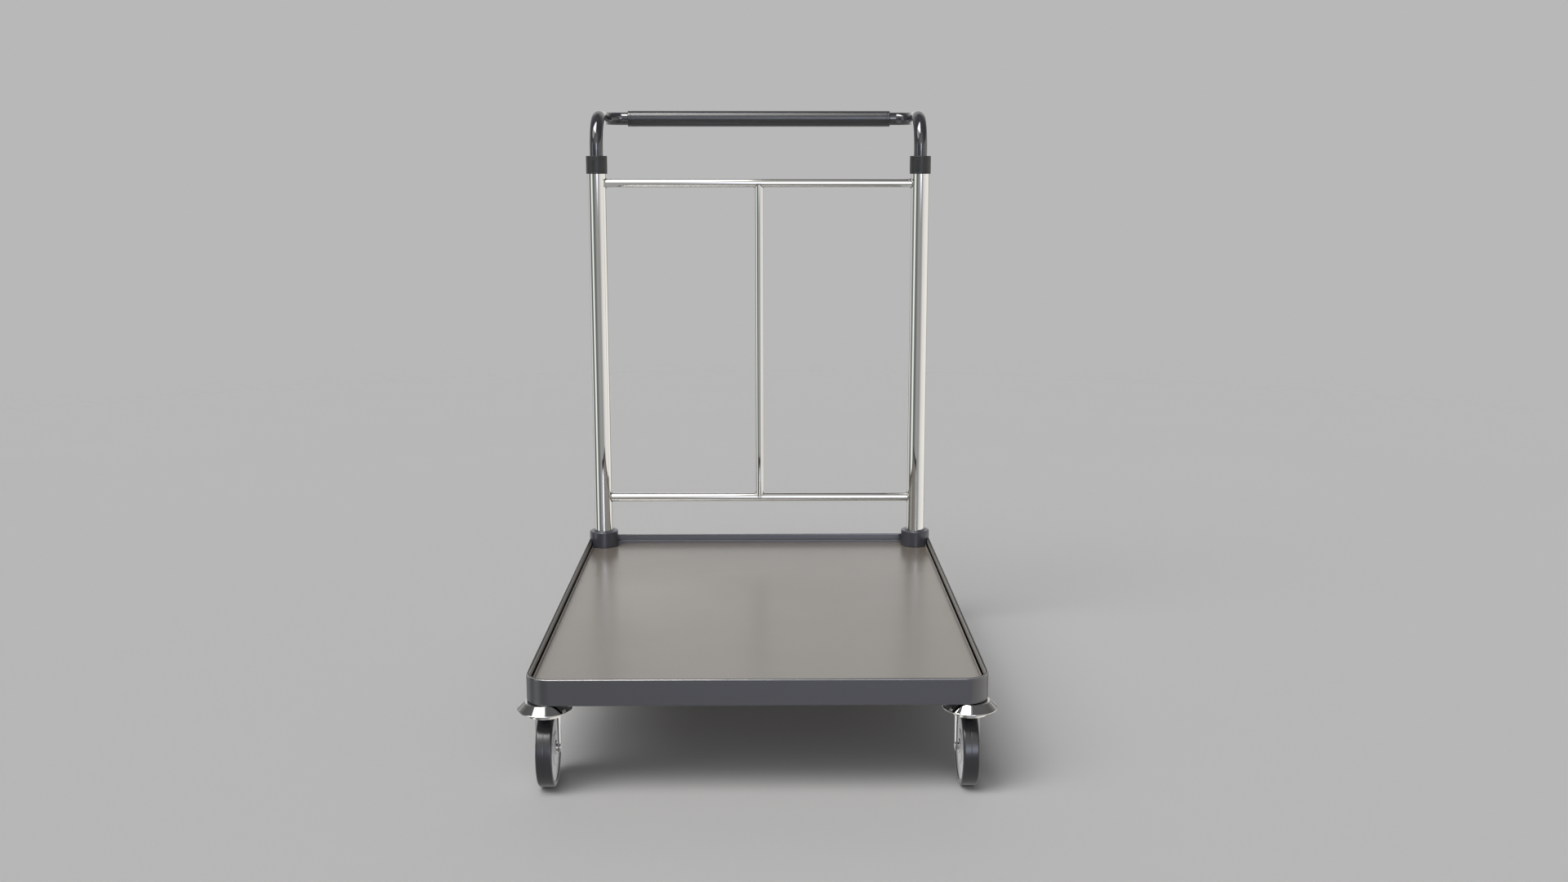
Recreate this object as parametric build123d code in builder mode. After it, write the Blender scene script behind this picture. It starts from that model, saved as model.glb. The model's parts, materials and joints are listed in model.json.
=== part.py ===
from build123d import *
import math
import os

os.makedirs("parts", exist_ok=True)

# ---------------------------------------------------------------------------
# Luggage trolley: flat tray platform on four casters, two chrome uprights with
# a guard frame at the rear, and a press-down push handle that works the rear
# wheel brakes.
# Axes: +X to the right seen from the front, +Y from the front to the handle,
# +Z up. Origin: floor level, centre of the overall footprint. Millimetres.
# ---------------------------------------------------------------------------

# fits
touch = 0.02                # fixed pieces that meet on a round face
slide_clearance = 0.05      # radial, moving pieces
overcut = 1.0               # how far a cut runs past the face it opens

# platform
platform_width = 680.0
platform_depth = 915.0
corner_radius = 28.0        # rear corners, concentric with the upright sockets
front_corner_radius = 37.0
band_bottom = 140.0
band_top = 180.0
band_wall = 4.5
ledge_inset = 8.5           # outer face to the inner face of the ledge
ledge_top = 169.0
lip_inset = 16.0            # outer face to the inner edge of the support lip
lip_bottom = 157.0
deck_top = 164.0
deck_thickness = 3.0
deck_gap = 0.2
under_lip_gap = 0.2         # between the lip and the pieces below it
inner_inset = band_wall + 0.2   # outer face to the pieces fitted inside the band

# casters and deflectors
front_caster_x = 313.0
deflector_rim_radius = 40.6
deflector_top_radius = 29.3
deflector_sheet = 1.5
wheel_radius = 57.5
wheel_width = 24.0
tyre_inner_radius = 49.5
caster_trail = 25.0
fork_outer_half = 17.5
fork_sheet = 2.5
axle_radius = 4.0
kingpin_radius = 6.0
ball_radius = 3.0
ball_circle_radius = 18.5

# uprights and guard frame
upright_radius = 17.5
upright_wall = 2.0
upright_bottom = 146.0
upright_top = 929.0
socket_top = 195.0
rail_radius = 8.4
rail_wall = 1.5
top_rail_z = 881.0
bottom_rail_z = 262.2
collar_radius = 20.25
collar_bottom = 899.0
collar_top = 933.0

# handle
handle_tube_radius = 12.7
handle_tube_wall = 2.0
handle_z = 1008.0
handle_leg_bottom = 800.0
handle_reach = 160.0        # uprights to the crossbar, along Y
handle_back_radius = 62.0   # bend from the legs backwards
handle_side_radius = 37.0   # bend from there inwards to the crossbar
grip_radius = 15.8
grip_half_length = 264.0
handle_stroke = 12.0
rod_radius = 5.0

# derived positions
upright_x = platform_width / 2 - corner_radius
caster_span = platform_depth - 2 * corner_radius
overall_depth = deflector_rim_radius + caster_span + handle_reach + grip_radius
front_caster_y = deflector_rim_radius - overall_depth / 2
front_axle_y = front_caster_y + caster_trail
platform_front = front_caster_y - corner_radius
platform_rear = platform_front + platform_depth
platform_mid = (platform_front + platform_rear) / 2
upright_y = front_caster_y + caster_span
bar_y = upright_y + handle_reach
deck_bottom = deck_top - deck_thickness
upright_bore = upright_radius - upright_wall
fork_inner_half = fork_outer_half - fork_sheet
axle_z = wheel_radius
block_bottom = band_bottom - 0.5
block_top = lip_bottom - under_lip_gap
flange_top = block_bottom
flange_bottom = flange_top - deflector_sheet

# -1 is left or front, 1 is right or rear
sides = (("left", -1), ("right", 1))
corners = (("front_left", -1, -1), ("front_right", 1, -1),
           ("rear_left", -1, 1), ("rear_right", 1, 1))
upright_spots = ((-upright_x, upright_y), (upright_x, upright_y))

# screws
block_screw_radius = 2.5
block_screw_near = 17.5     # from the corner axis towards one outer face
block_screw_far = 38.0      # from the corner axis inwards along the other
fork_screw_radius = 2.0
fork_screw_clearance = 0.1
fork_screw_offset = 17.1    # from the upright axis, along X and along Y


def save(piece, label):
    piece.part.label = label
    export_step(piece.part, "parts/" + label + ".step")


def caster_spot(side, end):
    """Centre of a caster head in plan."""
    if end < 0:
        return side * front_caster_x, front_caster_y
    return side * upright_x, upright_y


def block_screw_spots(side, end):
    caster_y = caster_spot(side, end)[1]
    return ((side * (upright_x + block_screw_near), caster_y - end * block_screw_far),
            (side * (upright_x - block_screw_far), caster_y + end * block_screw_near))


def fork_screw_spots(side):
    """Three screws round a rear caster; the rear outer corner has none."""
    return [(side * (upright_x + outward * fork_screw_offset),
             upright_y + rearward * fork_screw_offset)
            for outward, rearward in ((-1, 1), (-1, -1), (1, -1))]


all_block_screw_spots = [spot for side in (-1, 1) for end in (-1, 1)
                         for spot in block_screw_spots(side, end)]
all_fork_screw_spots = fork_screw_spots(-1) + fork_screw_spots(1)


def section_plane(x, y, z=0):
    """Upright plane facing the front: local x is +X, local y is +Z."""
    return Plane(origin=(x, y, z), x_dir=(1, 0, 0), z_dir=(0, -1, 0))


def vertical_axis(x, y):
    return Axis((x, y, 0), (0, 0, 1))


def mirrored_outline(half):
    """Close a turned outline given as its +X half, as (x, radius) points."""
    return [(-x, radius) for x, radius in half] + half[::-1]


def tray_plan(inset):
    """Plan outline of the tray, inset from its outer face."""
    with BuildSketch(mode=Mode.PRIVATE) as plan:
        with Locations((0, platform_mid)):
            Rectangle(platform_width - 2 * inset, platform_depth - 2 * inset)
        front_first = plan.vertices().sort_by(Axis.Y)
        fillet(front_first[:2], radius=front_corner_radius - inset)
        rear_half = plan.vertices().filter_by_position(Axis.Y, platform_mid, platform_rear)
        fillet(rear_half.sort_by(Axis.Y)[-2:], radius=corner_radius - inset)
    return plan.sketch


# ---------------------------------------------------------------------------
# platform band: one closed profile with an inner ledge and a support lip;
# its rear corners are cut down to deck level for the upright sockets
# ---------------------------------------------------------------------------
socket_seat_gap = 0.15
upright_hole_gap = 0.1
lip_screw_depth = 3.0

with BuildPart() as platform_band:
    with BuildSketch(Plane.XY.offset(band_bottom)):
        add(tray_plan(0))
        add(tray_plan(band_wall), mode=Mode.SUBTRACT)
    extrude(amount=band_top - band_bottom)
    top_face = platform_band.faces().sort_by(Axis.Z)[-1]
    fillet(top_face.outer_wire().edges(), radius=2.0)
    top_face = platform_band.faces().sort_by(Axis.Z)[-1]
    fillet(top_face.inner_wires()[0].edges(), radius=1.0)
    bottom_face = platform_band.faces().sort_by(Axis.Z)[0]
    fillet(bottom_face.outer_wire().edges(), radius=1.2)
    # ledge
    with BuildSketch(Plane.XY.offset(lip_bottom)):
        add(tray_plan(band_wall / 2))
        add(tray_plan(ledge_inset), mode=Mode.SUBTRACT)
    extrude(amount=ledge_top - lip_bottom)
    ledge_face = platform_band.faces().filter_by_position(
        Axis.Z, ledge_top - 0.01, ledge_top + 0.01).sort_by(SortBy.AREA)[-1]
    fillet(ledge_face.inner_wires()[0].edges(), radius=1.0)
    # support lip
    with BuildSketch(Plane.XY.offset(lip_bottom)):
        add(tray_plan(band_wall / 2))
        add(tray_plan(lip_inset), mode=Mode.SUBTRACT)
    extrude(amount=deck_bottom - lip_bottom)
    # seats for the sockets and holes for the upright tubes
    with BuildSketch(Plane.XY.offset(deck_top)):
        with Locations(*upright_spots):
            Circle(corner_radius + socket_seat_gap)
    extrude(amount=band_top - deck_top + overcut, mode=Mode.SUBTRACT)
    with BuildSketch(Plane.XY.offset(lip_bottom - overcut)):
        with Locations(*upright_spots):
            Circle(upright_radius + upright_hole_gap)
    extrude(amount=deck_top - lip_bottom + overcut, mode=Mode.SUBTRACT)
    # tapped holes in the lip for the corner block screws
    with BuildSketch(Plane.XY.offset(lip_bottom - overcut)):
        with Locations(*all_block_screw_spots):
            Circle(block_screw_radius + touch)
    extrude(amount=lip_screw_depth + overcut, mode=Mode.SUBTRACT)
save(platform_band, "platform_band")

# deck panel, notched round the two sockets
with BuildPart() as deck_panel:
    with BuildSketch(Plane.XY.offset(deck_bottom)):
        add(tray_plan(ledge_inset + deck_gap))
        with Locations(*upright_spots):
            Circle(corner_radius + deck_gap, mode=Mode.SUBTRACT)
    extrude(amount=deck_thickness)
save(deck_panel, "deck_panel")

# ---------------------------------------------------------------------------
# cross members: box sections under the deck, coped over the support lip
# ---------------------------------------------------------------------------
member_half_length = platform_width / 2 - inner_inset
member_setback = 175.0      # platform end to the nearest member's centre
member_depth = 40.0
member_bottom = band_bottom + 1.0
member_height = deck_bottom - member_bottom
member_wall = 2.0
member_outer_round = 3.0
member_inner_round = 1.5
cope_clearance = 0.1        # inwards of the lip
cope_overrun = 0.3          # outwards of the band's outer face
cope_x = platform_width / 2 + (cope_overrun - lip_inset - cope_clearance) / 2
drain_radius = 6.0
drain_pitch = 180.0


def save_cross_member(label, member_y):
    with BuildPart() as cross_member:
        with BuildSketch(Plane.YZ.offset(-member_half_length)):
            with Locations((member_y, (member_bottom + deck_bottom) / 2)):
                RectangleRounded(member_depth, member_height, member_outer_round)
                RectangleRounded(member_depth - 2 * member_wall,
                                 member_height - 2 * member_wall,
                                 member_inner_round, mode=Mode.SUBTRACT)
        extrude(amount=2 * member_half_length)
        with BuildSketch(Plane.XY.offset(block_top)):
            with Locations((-cope_x, member_y), (cope_x, member_y)):
                Rectangle(lip_inset + cope_clearance + cope_overrun,
                          member_depth + 2 * overcut)
        extrude(amount=deck_top - block_top, mode=Mode.SUBTRACT)
        # drain holes in the lower wall
        with BuildSketch(Plane.XY.offset(member_bottom - overcut)):
            with Locations((-drain_pitch, member_y), (0, member_y),
                           (drain_pitch, member_y)):
                Circle(drain_radius)
        extrude(amount=member_wall + 2 * overcut, mode=Mode.SUBTRACT)
    save(cross_member, label)


save_cross_member("cross_member_front", platform_front + member_setback)
save_cross_member("cross_member_centre", platform_mid)
save_cross_member("cross_member_rear", platform_rear - member_setback)

# ---------------------------------------------------------------------------
# corner blocks: carry the casters, the kingpins and the upright tubes
# ---------------------------------------------------------------------------
block_size = 78.0
block_inner_round = 14.0
block_screw_clearance = 0.2
pocket_offset = 33.0        # from the corner axis, inwards along X and Y
pocket_size = 22.0
pocket_round = 5.0
pocket_depth = 11.0
kingpin_hole_top = 153.0
rod_hole_clearance = 0.3
rear_hole_depth = 9.5


def save_corner_block(label, side, end):
    caster_x, caster_y = caster_spot(side, end)
    platform_edge_y = platform_front if end < 0 else platform_rear
    outer_round = (front_corner_radius if end < 0 else corner_radius) - inner_inset
    edge_x = side * (platform_width / 2 - inner_inset)
    edge_y = platform_edge_y - end * inner_inset
    with BuildPart() as corner_block:
        with BuildSketch(Plane.XY.offset(block_bottom)) as block_plan:
            with Locations((edge_x - side * block_size / 2, edge_y - end * block_size / 2)):
                Rectangle(block_size, block_size)
            near = block_plan.vertices().sort_by_distance((edge_x, edge_y, 0))
            fillet(near[0], radius=outer_round)
            far = block_plan.vertices().sort_by_distance(
                (edge_x - side * block_size, edge_y - end * block_size, 0))
            fillet(far[0], radius=block_inner_round)
        extrude(amount=block_top - block_bottom)
        with BuildSketch(Plane.XY.offset(block_bottom - overcut)):
            with Locations(*block_screw_spots(side, end)):
                Circle(block_screw_radius + block_screw_clearance)
        extrude(amount=block_top - block_bottom + 2 * overcut, mode=Mode.SUBTRACT)
        # lightening pocket on the inner corner, open downwards
        with BuildSketch(Plane.XY.offset(block_bottom - overcut)):
            with Locations((side * (upright_x - pocket_offset),
                            caster_y - end * pocket_offset)):
                RectangleRounded(pocket_size, pocket_size, pocket_round)
        extrude(amount=pocket_depth + overcut, mode=Mode.SUBTRACT)
        if end < 0:
            # blind tapped hole for the kingpin
            with BuildSketch(Plane.XY.offset(block_bottom - overcut)):
                with Locations((caster_x, caster_y)):
                    Circle(kingpin_radius + touch)
            extrude(amount=kingpin_hole_top - block_bottom + overcut, mode=Mode.SUBTRACT)
        else:
            # counterbore for the upright tube
            with BuildSketch(Plane.XY.offset(upright_bottom)):
                with Locations((caster_x, caster_y)):
                    Circle(upright_radius + touch)
            extrude(amount=block_top - upright_bottom + overcut, mode=Mode.SUBTRACT)
            # holes for the brake rod and the fork screws
            with BuildSketch(Plane.XY.offset(block_bottom - overcut)):
                with Locations((caster_x, caster_y)):
                    Circle(rod_radius + rod_hole_clearance)
                with Locations(*fork_screw_spots(side)):
                    Circle(fork_screw_radius + touch)
            extrude(amount=rear_hole_depth + overcut, mode=Mode.SUBTRACT)
    save(corner_block, "corner_block_" + label)


for corner in corners:
    save_corner_block(*corner)


def save_button_screws(label, spots, seat_z, shank_radius, shank_length, head_radius,
                       head_edge, crown_mid, crown_radius, head_height, recess_depth):
    """Button-head screws pointing up from seat_z, with recessed heads below it.

    crown_mid is the (radius, z) point half way along the rounded head.
    """
    with BuildPart() as screws:
        for screw_x, screw_y in spots:
            with BuildSketch(section_plane(screw_x, screw_y, seat_z)):
                with BuildLine():
                    Polyline((0, shank_length), (shank_radius, shank_length),
                             (shank_radius, 0), (head_radius, 0),
                             (head_radius, -head_edge))
                    ThreePointArc((head_radius, -head_edge), crown_mid,
                                  (crown_radius, -head_height))
                    Polyline((crown_radius, -head_height), (crown_radius, -recess_depth),
                             (0, -recess_depth), (0, shank_length))
                make_face()
            revolve(axis=vertical_axis(screw_x, screw_y))
    save(screws, label)


# screws that hold the corner blocks to the lip
save_button_screws("corner_screws", all_block_screw_spots, block_bottom,
                   shank_radius=block_screw_radius, shank_length=20.0,
                   head_radius=4.75, head_edge=0.9, crown_mid=(3.6, -2.3),
                   crown_radius=1.5, head_height=2.7, recess_depth=1.2)

# ---------------------------------------------------------------------------
# sockets, uprights and guard frame
# ---------------------------------------------------------------------------
bead_radius = 21.0
bead_overlap = 0.5
bead_top = socket_top + 1.2


def save_socket(label, side):
    with BuildPart() as socket:
        with BuildSketch(Plane.XY.offset(deck_bottom)):
            with Locations((side * upright_x, upright_y)):
                Circle(corner_radius)
            add(tray_plan(ledge_inset + deck_gap), mode=Mode.INTERSECT)
        extrude(amount=deck_thickness)
        with BuildSketch(Plane.XY.offset(deck_top)):
            with Locations((side * upright_x, upright_y)):
                Circle(corner_radius)
        extrude(amount=socket_top - deck_top)
        top_face = socket.faces().sort_by(Axis.Z)[-1]
        fillet(top_face.edges(), radius=1.6)
        # raised bead round the foot of the tube
        with BuildSketch(Plane.XY.offset(socket_top - bead_overlap)):
            with Locations((side * upright_x, upright_y)):
                Circle(bead_radius)
        extrude(amount=bead_top - socket_top + bead_overlap)
        top_face = socket.faces().sort_by(Axis.Z)[-1]
        fillet(top_face.edges(), radius=1.0)
        with BuildSketch(Plane.XY.offset(deck_bottom - overcut)):
            with Locations((side * upright_x, upright_y)):
                Circle(upright_radius + touch)
        extrude(amount=bead_top - deck_bottom + 2 * overcut, mode=Mode.SUBTRACT)
    save(socket, "socket_" + label)


accessory_hole_radius = 2.5
accessory_hole_pitch = 100.0
accessory_hole_count = 6
first_accessory_hole_z = 300.0
accessory_cut_start = 10.0  # from the upright axis, outwards
accessory_cut_length = 12.0


def save_upright(label, side):
    with BuildPart() as upright:
        with BuildSketch(Plane.XY.offset(upright_bottom)):
            with Locations((side * upright_x, upright_y)):
                Circle(upright_radius)
                Circle(upright_bore, mode=Mode.SUBTRACT)
        extrude(amount=upright_top - upright_bottom)
        # accessory holes on the outer side, through one wall
        with BuildSketch(Plane.YZ.offset(side * (upright_x + accessory_cut_start))):
            with Locations(*[(upright_y, first_accessory_hole_z + accessory_hole_pitch * i)
                             for i in range(accessory_hole_count)]):
                Circle(accessory_hole_radius)
        extrude(amount=side * accessory_cut_length, mode=Mode.SUBTRACT)
    save(upright, "upright_" + label)


collar_cap_gap = 0.2        # above the top of the upright


def save_collar(label, side):
    with BuildPart() as collar:
        with BuildSketch(Plane.XY.offset(collar_bottom)):
            with Locations((side * upright_x, upright_y)):
                Circle(collar_radius)
        extrude(amount=collar_top - collar_bottom)
        fillet(collar.faces().sort_by(Axis.Z)[-1].edges(), radius=1.2)
        fillet(collar.faces().sort_by(Axis.Z)[0].edges(), radius=0.8)
        with BuildSketch(Plane.XY.offset(collar_bottom - overcut)):
            with Locations((side * upright_x, upright_y)):
                Circle(upright_radius + touch)
        extrude(amount=upright_top + collar_cap_gap - collar_bottom + overcut,
                mode=Mode.SUBTRACT)
        with BuildSketch(Plane.XY.offset(collar_bottom)):
            with Locations((side * upright_x, upright_y)):
                Circle(handle_tube_radius + slide_clearance)
        extrude(amount=collar_top - collar_bottom + overcut, mode=Mode.SUBTRACT)
    save(collar, "collar_" + label)


for label, side in sides:
    save_socket(label, side)
    save_upright(label, side)
    save_collar(label, side)

# rails and centre rod, their ends coped to the tubes they meet
cope_reach = 20.0           # half length of the coping cut

for label, rail_z in (("top_rail", top_rail_z), ("bottom_rail", bottom_rail_z)):
    with BuildPart() as rail:
        with BuildSketch(Plane.YZ.offset(-upright_x)):
            with Locations((upright_y, rail_z)):
                Circle(rail_radius)
                Circle(rail_radius - rail_wall, mode=Mode.SUBTRACT)
        extrude(amount=2 * upright_x)
        with BuildSketch(Plane.XY.offset(rail_z - cope_reach)):
            with Locations(*upright_spots):
                Circle(upright_radius + touch)
        extrude(amount=2 * cope_reach, mode=Mode.SUBTRACT)
    save(rail, label)

with BuildPart() as centre_rod:
    with BuildSketch(Plane.XY.offset(bottom_rail_z)):
        with Locations((0, upright_y)):
            Circle(rail_radius)
            Circle(rail_radius - rail_wall, mode=Mode.SUBTRACT)
    extrude(amount=top_rail_z - bottom_rail_z)
    with BuildSketch(Plane.YZ.offset(-cope_reach)):
        with Locations((upright_y, bottom_rail_z), (upright_y, top_rail_z)):
            Circle(rail_radius + touch)
    extrude(amount=2 * cope_reach, mode=Mode.SUBTRACT)
save(centre_rod, "centre_rod")

# upper guide bushes inside the uprights: the handle's leg plugs stop under them
bush_gap = 0.2
bush_height = 28.0

with BuildPart() as guide_bushes:
    with BuildSketch(Plane.XY.offset(handle_leg_bottom + bush_gap)):
        with Locations(*upright_spots):
            Circle(upright_bore - touch)
            Circle(handle_tube_radius + slide_clearance, mode=Mode.SUBTRACT)
    extrude(amount=bush_height)
save(guide_bushes, "guide_bushes")

# rod guides inside the uprights: the upper pair also seats the springs
spring_seat_top = 712.0
rod_guide_clearance = 0.08
upper_guide_height = 12.0
# bottom z, height
rod_guide_levels = ((150.0, 14.0),
                    (spring_seat_top - upper_guide_height, upper_guide_height))

with BuildPart() as rod_guides:
    for guide_bottom, guide_height in rod_guide_levels:
        with BuildSketch(Plane.XY.offset(guide_bottom)):
            with Locations(*upright_spots):
                Circle(upright_bore - touch)
                Circle(rod_radius + rod_guide_clearance, mode=Mode.SUBTRACT)
        extrude(amount=guide_height)
save(rod_guides, "rod_guides")

# ---------------------------------------------------------------------------
# conical deflectors over all four casters
# ---------------------------------------------------------------------------
head_opening_radius = 21.0
rim_z = flange_top - 11.6
rim_bead_radius = 1.2
# radius, z
deflector_outline = [
    (head_opening_radius, flange_bottom),
    (head_opening_radius, flange_top),
    (deflector_top_radius, flange_top),
    (deflector_rim_radius - 0.6, rim_z + 0.2),
    (deflector_rim_radius - 1.9, rim_z - 0.6),
    (deflector_top_radius - 1.1, flange_bottom),
]


def save_deflector(label, side, end):
    caster_x, caster_y = caster_spot(side, end)
    with BuildPart() as deflector:
        with BuildSketch(section_plane(caster_x, caster_y)):
            Polygon(*deflector_outline, align=None)
            with Locations((deflector_rim_radius - rim_bead_radius, rim_z)):
                Circle(rim_bead_radius)
        revolve(axis=vertical_axis(caster_x, caster_y))
        if end > 0:
            # the rear flanges let the three fork screws through
            with BuildSketch(Plane.XY.offset(flange_bottom - overcut)):
                with Locations(*fork_screw_spots(side)):
                    Circle(fork_screw_radius + fork_screw_clearance)
            extrude(amount=4.0, mode=Mode.SUBTRACT)
    save(deflector, "deflector_" + label)


for corner in corners:
    save_deflector(*corner)

# ---------------------------------------------------------------------------
# front swivel heads: upper races and kingpins stay with the platform
# ---------------------------------------------------------------------------
ball_z = 129.0
ball_count = 14
race_radius = 24.0
upper_race_bottom = 131.0
upper_race_bore = 6.3
race_spigot_radius = 20.8   # fits inside the deflector's flange
front_crown_bottom = 118.5
front_crown_top = 122.5
kingpin_head_top = front_crown_bottom - 0.1
# radius, z
upper_race_outline = [
    (upper_race_bore, upper_race_bottom), (race_radius, upper_race_bottom),
    (race_radius, flange_bottom), (race_spigot_radius, flange_bottom),
    (race_spigot_radius, flange_top), (upper_race_bore, flange_top),
]
kingpin_outline = [
    (0, 114.6), (7.0, 114.6), (8.0, 115.6), (8.0, kingpin_head_top),
    (kingpin_radius, kingpin_head_top), (kingpin_radius, 151.0),
    (kingpin_radius - 1.0, 152.0), (0, 152.0),
]

with BuildPart() as upper_races:
    for side in (-1, 1):
        with BuildSketch(section_plane(side * front_caster_x, front_caster_y)):
            Polygon(*upper_race_outline, align=None)
            with Locations((ball_circle_radius, ball_z)):
                Circle(ball_radius + slide_clearance, mode=Mode.SUBTRACT)
        revolve(axis=vertical_axis(side * front_caster_x, front_caster_y))
save(upper_races, "upper_races")

with BuildPart() as kingpins:
    for side in (-1, 1):
        with BuildSketch(section_plane(side * front_caster_x, front_caster_y)):
            Polygon(*kingpin_outline, align=None)
        revolve(axis=vertical_axis(side * front_caster_x, front_caster_y))
save(kingpins, "kingpins")

# ---------------------------------------------------------------------------
# rear casters: mounting rings and fork screws
# ---------------------------------------------------------------------------
ring_radius = 27.5
ring_bottom = 132.0
rear_crown_bottom = 128.0

with BuildPart() as rear_mount_rings:
    with BuildSketch(Plane.XY.offset(ring_bottom)):
        with Locations(*upright_spots):
            Circle(ring_radius)
            Circle(head_opening_radius, mode=Mode.SUBTRACT)
        with Locations(*all_fork_screw_spots):
            Circle(fork_screw_radius + fork_screw_clearance, mode=Mode.SUBTRACT)
    extrude(amount=flange_bottom - ring_bottom)
save(rear_mount_rings, "rear_mount_rings")

save_button_screws("rear_fork_screws", all_fork_screw_spots, rear_crown_bottom,
                   shank_radius=fork_screw_radius, shank_length=20.5,
                   head_radius=3.5, head_edge=0.7, crown_mid=(2.7, -1.8),
                   crown_radius=1.2, head_height=2.1, recess_depth=0.9)

# ---------------------------------------------------------------------------
# forks: fixed at the rear, swivelling and trailing at the front
# ---------------------------------------------------------------------------
hub_half = 12.5
hub_gap = 0.2               # between the hub and each spacer boss
boss_radius = 5.9
arm_end_radius = 7.2
arm_overlap = 1.0           # arm tops stop this far below the crown's top
front_crown_radius = 26.0
front_arm_half = 11.5
front_plate_length = 38.0
front_plate_round = 3.0
front_plate_y = front_axle_y - 6.0
kingpin_fork_gap = 0.06
rear_crown_radius = 29.0
rear_arm_half = 12.0
brake_window = (23.0, 35.0, 4.0)    # X size, Y size, corner radius


def arm_outline(axle_y, half_width, top_z):
    """Arm in (y, z), narrowing to tangents of the round end at the axle."""
    points = [(axle_y + half_width, top_z), (axle_y - half_width, top_z)]
    rise = top_z - axle_z
    swing = math.acos(arm_end_radius / math.hypot(half_width, rise))
    for edge in (-1, 1):
        angle = math.atan2(rise, edge * half_width) - edge * swing
        points.append((axle_y + arm_end_radius * math.cos(angle),
                       axle_z + arm_end_radius * math.sin(angle)))
    return points


def save_fork(label, side, end):
    fork_x, caster_y = caster_spot(side, end)
    if end < 0:
        axle_y, arm_half, crown_radius = front_axle_y, front_arm_half, front_crown_radius
        crown_bottom, crown_top = front_crown_bottom, front_crown_top
    else:
        axle_y, arm_half, crown_radius = upright_y, rear_arm_half, rear_crown_radius
        crown_bottom, crown_top = rear_crown_bottom, ring_bottom
    with BuildPart() as fork:
        with BuildSketch(Plane.XY.offset(crown_bottom)):
            with Locations((fork_x, caster_y)):
                Circle(crown_radius)
            if end < 0:
                with Locations((fork_x, front_plate_y)):
                    RectangleRounded(2 * fork_outer_half, front_plate_length,
                                     front_plate_round)
        extrude(amount=crown_top - crown_bottom)
        for left_face in (fork_x - fork_outer_half, fork_x + fork_inner_half):
            with BuildSketch(Plane.YZ.offset(left_face)):
                Polygon(*arm_outline(axle_y, arm_half, crown_top - arm_overlap),
                        align=None)
                with Locations((axle_y, axle_z)):
                    Circle(arm_end_radius)
            extrude(amount=fork_sheet)
        # spacer bosses towards the hub
        for left_face in (fork_x - fork_inner_half, fork_x + hub_half + hub_gap):
            with BuildSketch(Plane.YZ.offset(left_face)):
                with Locations((axle_y, axle_z)):
                    Circle(boss_radius)
            extrude(amount=fork_inner_half - hub_half - hub_gap)
        # axle hole
        with BuildSketch(Plane.YZ.offset(fork_x - fork_outer_half - overcut)):
            with Locations((axle_y, axle_z)):
                Circle(axle_radius + touch)
        extrude(amount=2 * (fork_outer_half + overcut), mode=Mode.SUBTRACT)
        # crown openings: the kingpin in front, the brake and screws at the rear
        with BuildSketch(Plane.XY.offset(crown_bottom - overcut)):
            if end < 0:
                with Locations((fork_x, caster_y)):
                    Circle(kingpin_radius + kingpin_fork_gap)
            else:
                with Locations((fork_x, caster_y)):
                    RectangleRounded(*brake_window)
                with Locations(*fork_screw_spots(side)):
                    Circle(fork_screw_radius + fork_screw_clearance)
        extrude(amount=crown_top - crown_bottom + 2 * overcut, mode=Mode.SUBTRACT)
    save(fork, label)


for label, side in sides:
    save_fork("rear_fork_" + label, side, 1)
    save_fork("front_" + label + "_fork", side, -1)

# axle with a bevelled head at each end; x from the middle, radius
axle_outline = mirrored_outline([
    (fork_outer_half + 1.2, 0), (fork_outer_half + 1.2, 4.4),
    (fork_outer_half + 0.6, 5.6), (fork_outer_half, 5.6),
    (fork_outer_half, axle_radius),
])


def save_axles(label, spots):
    with BuildPart() as axles:
        for axle_x, axle_y in spots:
            with BuildSketch(section_plane(axle_x, axle_y, axle_z)):
                Polygon(*axle_outline, align=None)
            revolve(axis=Axis((axle_x, axle_y, axle_z), (1, 0, 0)))
    save(axles, label)


save_axles("rear_axles", upright_spots)
for label, side in sides:
    save_axles("front_" + label + "_axle", [(side * front_caster_x, front_axle_y)])

# ---------------------------------------------------------------------------
# lower races and balls, which turn with the front forks
# ---------------------------------------------------------------------------
lower_race_bore = 6.4
lower_race_top = 127.0
# radius, z
lower_race_outline = [
    (lower_race_bore, front_crown_top), (race_radius, front_crown_top),
    (race_radius, lower_race_top), (lower_race_bore, lower_race_top),
]

for label, side in sides:
    head_x = side * front_caster_x
    with BuildPart() as lower_race:
        with BuildSketch(section_plane(head_x, front_caster_y)):
            Polygon(*lower_race_outline, align=None)
            with Locations((ball_circle_radius, ball_z)):
                Circle(ball_radius + slide_clearance, mode=Mode.SUBTRACT)
        revolve(axis=vertical_axis(head_x, front_caster_y))
    save(lower_race, "front_" + label + "_race")

    with BuildPart() as swivel_balls:
        with Locations((head_x, front_caster_y, ball_z)):
            with PolarLocations(ball_circle_radius, ball_count):
                Sphere(ball_radius)
    save(swivel_balls, "front_" + label + "_balls")

# ---------------------------------------------------------------------------
# wheels: rubber tyre, moulded centre and two ball bearings each
# ---------------------------------------------------------------------------
half_width = wheel_width / 2
tread_round = 3.0
tread_round_mid = 0.88      # inset of the rounding's middle point
tyre_bevel_x = 1.0
tyre_bevel_radius = tyre_inner_radius + 1.5
bearing_width = 5.0
bearing_seat_radius = 8.0
bearing_seat_x = hub_half - bearing_width
bearing_x = hub_half - bearing_width / 2
bearing_inner = axle_radius + slide_clearance
bearing_outer = bearing_seat_radius - touch
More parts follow.
